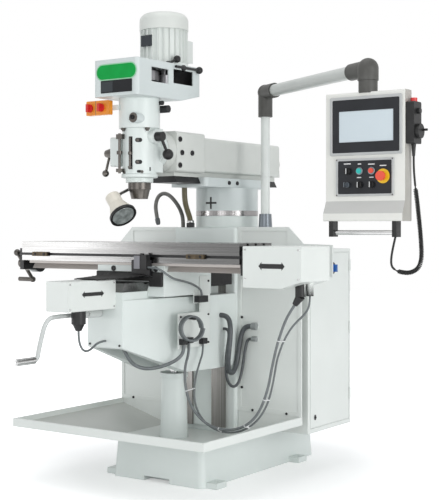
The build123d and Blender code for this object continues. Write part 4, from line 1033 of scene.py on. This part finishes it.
# The pendant: a steel pole and swing arm with cast elbows that carry the cables to the panel.
# The panel is a folded box with a touch screen, a button plate and a handle bar under it.
pole_enamel = surface(
    "pole_enamel", (0.50, 0.52, 0.50), (0.56, 0.58, 0.56), (0.25, 0.38), 0, 6, 400, 0.00006
)
elbow_enamel = surface(
    "elbow_enamel", (0.066, 0.065, 0.06), (0.09, 0.089, 0.084), (0.4, 0.55), 0, 14, 260, 0.0003, shine=0.3
)
foot_steel = surface("foot_steel", (0.14, 0.16, 0.18), (0.2, 0.22, 0.24), (0.25, 0.4), 0.8, 10, 300, 0.00006)
POLE_FOOT_TOP = 1.256
clad("pendant_pole", sheet_enamel, (foot_steel, lambda c: c.z < POLE_FOOT_TOP))
pole_top = Vector((0.275, 0.015, 1.850))
arm_end = Vector((1.079, -0.450, 1.850))
arm_way = (arm_end - pole_top).normalized()
arm_length = (arm_end - pole_top).length
POLE_ELBOW, PANEL_ELBOW = 0.1005, 0.1305


def in_elbow(c):
    """The two cast elbows at the arm's ends."""
    run = (c - pole_top).dot(arm_way)
    return run < POLE_ELBOW or run > arm_length - PANEL_ELBOW


clad("pendant_arm", pole_enamel, (elbow_enamel, in_elbow))
panel_enamel = surface(
    "panel_enamel", (0.70, 0.70, 0.665), (0.74, 0.74, 0.705), (0.3, 0.42), 0, 5, 400, 0.0001, edge=0.004
)
# The panel's right side takes a darker beige tone as painted shade.
panel_side_shade = surface(
    "panel_side_shade", (0.36, 0.35, 0.32), (0.41, 0.40, 0.37), (0.3, 0.42), 0, 5, 400, 0.0001, edge=0.004
)
# The slope under the button plate takes a darker tone as painted shade.
panel_slope_shade = surface(
    "panel_slope_shade", (0.49, 0.49, 0.475), (0.52, 0.52, 0.505), (0.3, 0.42), 0, 5, 400, 0.0001, edge=0.004
)
BEZEL_FACE, PANEL_FACE, PANEL_TOP = -0.486, -0.480, 1.7515
PANEL_LEFT, PANEL_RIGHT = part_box("panel_box")[0][0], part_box("panel_box")[1][0]
SLOPE_FOOT, SLOPE_TOP = 1.249, 1.298


def on_right_side(c):
    """The panel's right side, below its cast top."""
    return c.x > PANEL_RIGHT - 0.001 and c.z < PANEL_TOP


def on_slope(c):
    """The slope in front, under the button plate."""
    between_sides = PANEL_LEFT + 0.001 < c.x < PANEL_RIGHT - 0.001
    return between_sides and c.y < PANEL_FACE - 0.002 and SLOPE_FOOT < c.z < SLOPE_TOP


clad("panel_box", panel_enamel, (elbow_enamel, lambda c: c.z > PANEL_TOP), (panel_side_shade, on_right_side),
     (panel_slope_shade, on_slope))
screen_glass = surface(
    "screen_glass", (0.56, 0.63, 0.67), (0.60, 0.67, 0.71), (0.1, 0.14), 0, 3, 100, 0.00001, shine=0.2
)
yellow_plastic = surface(
    "yellow_plastic", (0.74, 0.46, 0.01), (0.80, 0.52, 0.02), (0.25, 0.36), 0, 30, 400, 0.00005
)
SCREEN_LEFT, SCREEN_RIGHT, SCREEN_FOOT, SCREEN_TOP = 0.9485, 1.2125, 1.5435, 1.6845


def on_screen(c):
    """The screen, which lies a little behind the bezel's face."""
    within = SCREEN_LEFT < c.x < SCREEN_RIGHT and SCREEN_FOOT < c.z < SCREEN_TOP
    return within and c.y > BEZEL_FACE + 0.0015


def on_stop_ring(c):
    """The emergency stop's ring, which stands out of the button plate."""
    return c.y < BEZEL_FACE - 0.0005


bezel_black = surface(
    "bezel_black", (0.014, 0.015, 0.018), (0.020, 0.022, 0.026), (0.16, 0.26), 0, 10, 400, 0.00003, shine=0.3
)
clad("panel_fascia", bezel_black, (screen_glass, on_screen), (yellow_plastic, on_stop_ring))
trim_grey = surface("trim_grey", (0.40, 0.41, 0.41), (0.46, 0.47, 0.47), (0.3, 0.42), 0, 14, 300, 0.00006)


def rim(shape, inner, outer, radius, front):
    """Adds a flat frame on the panel's face between two rectangles, each as (x, x, z, z)."""
    loops = []
    corners = ((inner, PANEL_FACE), (outer, PANEL_FACE), (outer, front), (inner, front))
    for (x0, x1, z0, z1), y in corners:
        outline = rounded(x1 - x0, z1 - z0, radius)
        loops.append([shape.verts.new((x + (x0 + x1) / 2, y, z + (z0 + z1) / 2)) for x, z in outline])
    skin(shape, loops, closed=True)


FRAME_FACE = BEZEL_FACE - 0.0015
shape = bmesh.new()
rim(shape, (0.930, 1.240, 1.500, 1.721), (0.918, 1.250, 1.489, 1.733), 0.006, FRAME_FACE)
rim(shape, (0.957, 1.205, 1.328, 1.466), (0.947, 1.214, 1.319, 1.475), 0.004, FRAME_FACE)
piece("panel_frames", shape, trim_grey, "panel", 0.001)
SCREEN_FACE, STRIP_THICK = -0.4842, 0.0014
shape = bmesh.new()
for z, width, height in ((1.673, 0.263, 0.011), (1.544, 0.012, 0.129)):
    strip = [(0, 0), (width, 0), (width, height), (0, height)]
    plate(shape, strip, (0.949, SCREEN_FACE, z), (1, 0, 0), (0, 0, 1), STRIP_THICK)
piece("screen_border", shape, bezel_black, "panel")
white_ink = surface("white_ink", (0.70, 0.70, 0.70), (0.74, 0.74, 0.74), (0.4, 0.5), 0, 20, 400, 0.00002)
legends = (
    (1.001, 1.454, 0.033), (1.058, 1.452, 0.016), (1.113, 1.450, 0.030), (1.166, 1.443, 0.030),
    (1.056, 1.396, 0.020), (1.113, 1.396, 0.020),
)
shape = bmesh.new()
for x, z, width in legends:
    plate(shape, rounded(width, 0.004, 0.001, 2), (x, BEZEL_FACE, z), (1, 0, 0), (0, 0, 1), 0.0003)
piece("plain_legends", shape, white_ink, "panel")
collar = [(0.012, 0), (0.0155, 0), (0.0155, 0.003), (0.012, 0.004)]
shape = bmesh.new()
for x in (1.058, 1.114):
    turned(shape, collar, (x, BEZEL_FACE, 1.423), (0, -1, 0), 36)
piece("button_collars", shape, foot_steel, "panel")
corner_places = [((x, FRAME_FACE, z), (0, -1, 0)) for x in (0.952, 1.2095) for z in (1.3235, 1.4705)]
screws("button_plate_screws", corner_places, 0.0028, 0.002, dark_steel, "panel")
GRIP_LEFT, GRIP_RIGHT, UNIT_TOP = 0.9425, 1.2135, 1.7005
clad("panel_handle", bright_steel, (black_plastic, lambda c: c.x < GRIP_LEFT or c.x > GRIP_RIGHT))
clad("handwheel_unit", black_plastic, (red_plastic, lambda c: c.z > UNIT_TOP))
clad("handwheel_dial", black_plastic)
green_plastic = surface(
    "green_plastic", (0.015, 0.42, 0.38), (0.02, 0.48, 0.44), (0.18, 0.3), 0, 30, 400, 0.00004
)
coral_plastic = surface(
    "coral_plastic", (0.70, 0.07, 0.04), (0.76, 0.09, 0.05), (0.2, 0.32), 0, 30, 400, 0.00004
)
clad("start_button", green_plastic)
clad("stop_button", coral_plastic)
clad("estop_button", coral_plastic)
SELECTORS = {
    "mode_selector": (1.005, 1.423), "override_selector": (1.058, 1.366), "speed_selector": (1.114, 1.366),
}
KNOB_FACE = -0.5065
for node, (x, z) in SELECTORS.items():
    clad(node, black_plastic)
    front_plate(node + "_mark", rounded(0.003, 0.023, 0.001, 2), (x, KNOB_FACE, z), 0.0004, white_ink, node)
clad("key_switch", foot_steel)

# The handwheel's curly cord: a black sheath wound in a close helix along its hanging line.
# Its ends are straight and thicker; one leaves the handwheel unit, the other enters the panel's foot.
curl_line = smooth_line([
    (1.283, -0.428, 1.352), (1.291, -0.428, 1.296), (1.297, -0.428, 1.240), (1.304, -0.428, 1.180),
    (1.309, -0.428, 1.118), (1.311, -0.428, 1.066), (1.300, -0.428, 1.026), (1.270, -0.428, 1.006),
    (1.234, -0.428, 1.002), (1.200, -0.428, 1.010),
])
CURLS, CURL_STEPS, CURL_RADIUS, CURL_WIRE, LEAD_WIRE, SWELL_STEPS = 66, 12, 0.0075, 0.0026, 0.0046, 18


def along_line(line, share):
    """The place and heading at a share of a line's length."""
    left = share * run_length(line)
    for a, b in zip(line, line[1:]):
        step = (b - a).length
        if left <= step:
            return a + (b - a) * (left / step), (b - a).normalized()
        left -= step
    return line[-1].copy(), (line[-1] - line[-2]).normalized()


curl_points = []
aside = Vector((0, 1, 0))
total_steps = CURLS * CURL_STEPS
for i in range(total_steps + 1):
    spot, heading = along_line(curl_line, i / total_steps)
    swell = CURL_RADIUS * min(1, i / SWELL_STEPS, (total_steps - i) / SWELL_STEPS)
    angle = 2 * math.pi * i / CURL_STEPS
    over = aside.cross(heading)
    curl_points.append(spot + aside * (swell * math.cos(angle)) + over * (swell * math.sin(angle)))
lead_points = [Vector((1.281, -0.440, 1.479)), Vector((1.281, -0.440, 1.434)), Vector((1.282, -0.434, 1.390))]
tail_points = [
    Vector((1.176, -0.430, 1.026)), Vector((1.176, -0.433, 1.062)), Vector((1.188, -0.437, 1.112)),
    Vector((1.202, -0.440, 1.160)), Vector((1.210, -0.440, 1.186)), Vector((1.210, -0.440, 1.215)),
]
all_points = lead_points + curl_points + tail_points
LEAD_SHARE, TAIL_SHARE = 2.5 / len(all_points), 1 - 5.5 / len(all_points)


def lead_radius(share):
    """The sheath is thick and straight at both ends and thin where it is wound."""
    return CURL_WIRE if LEAD_SHARE < share < TAIL_SHARE else LEAD_WIRE


cord("handwheel_lead", all_points, CURL_WIRE, black_rubber, "handwheel_cord", "panel",
     fineness=3, sides=10, thick=lead_radius)
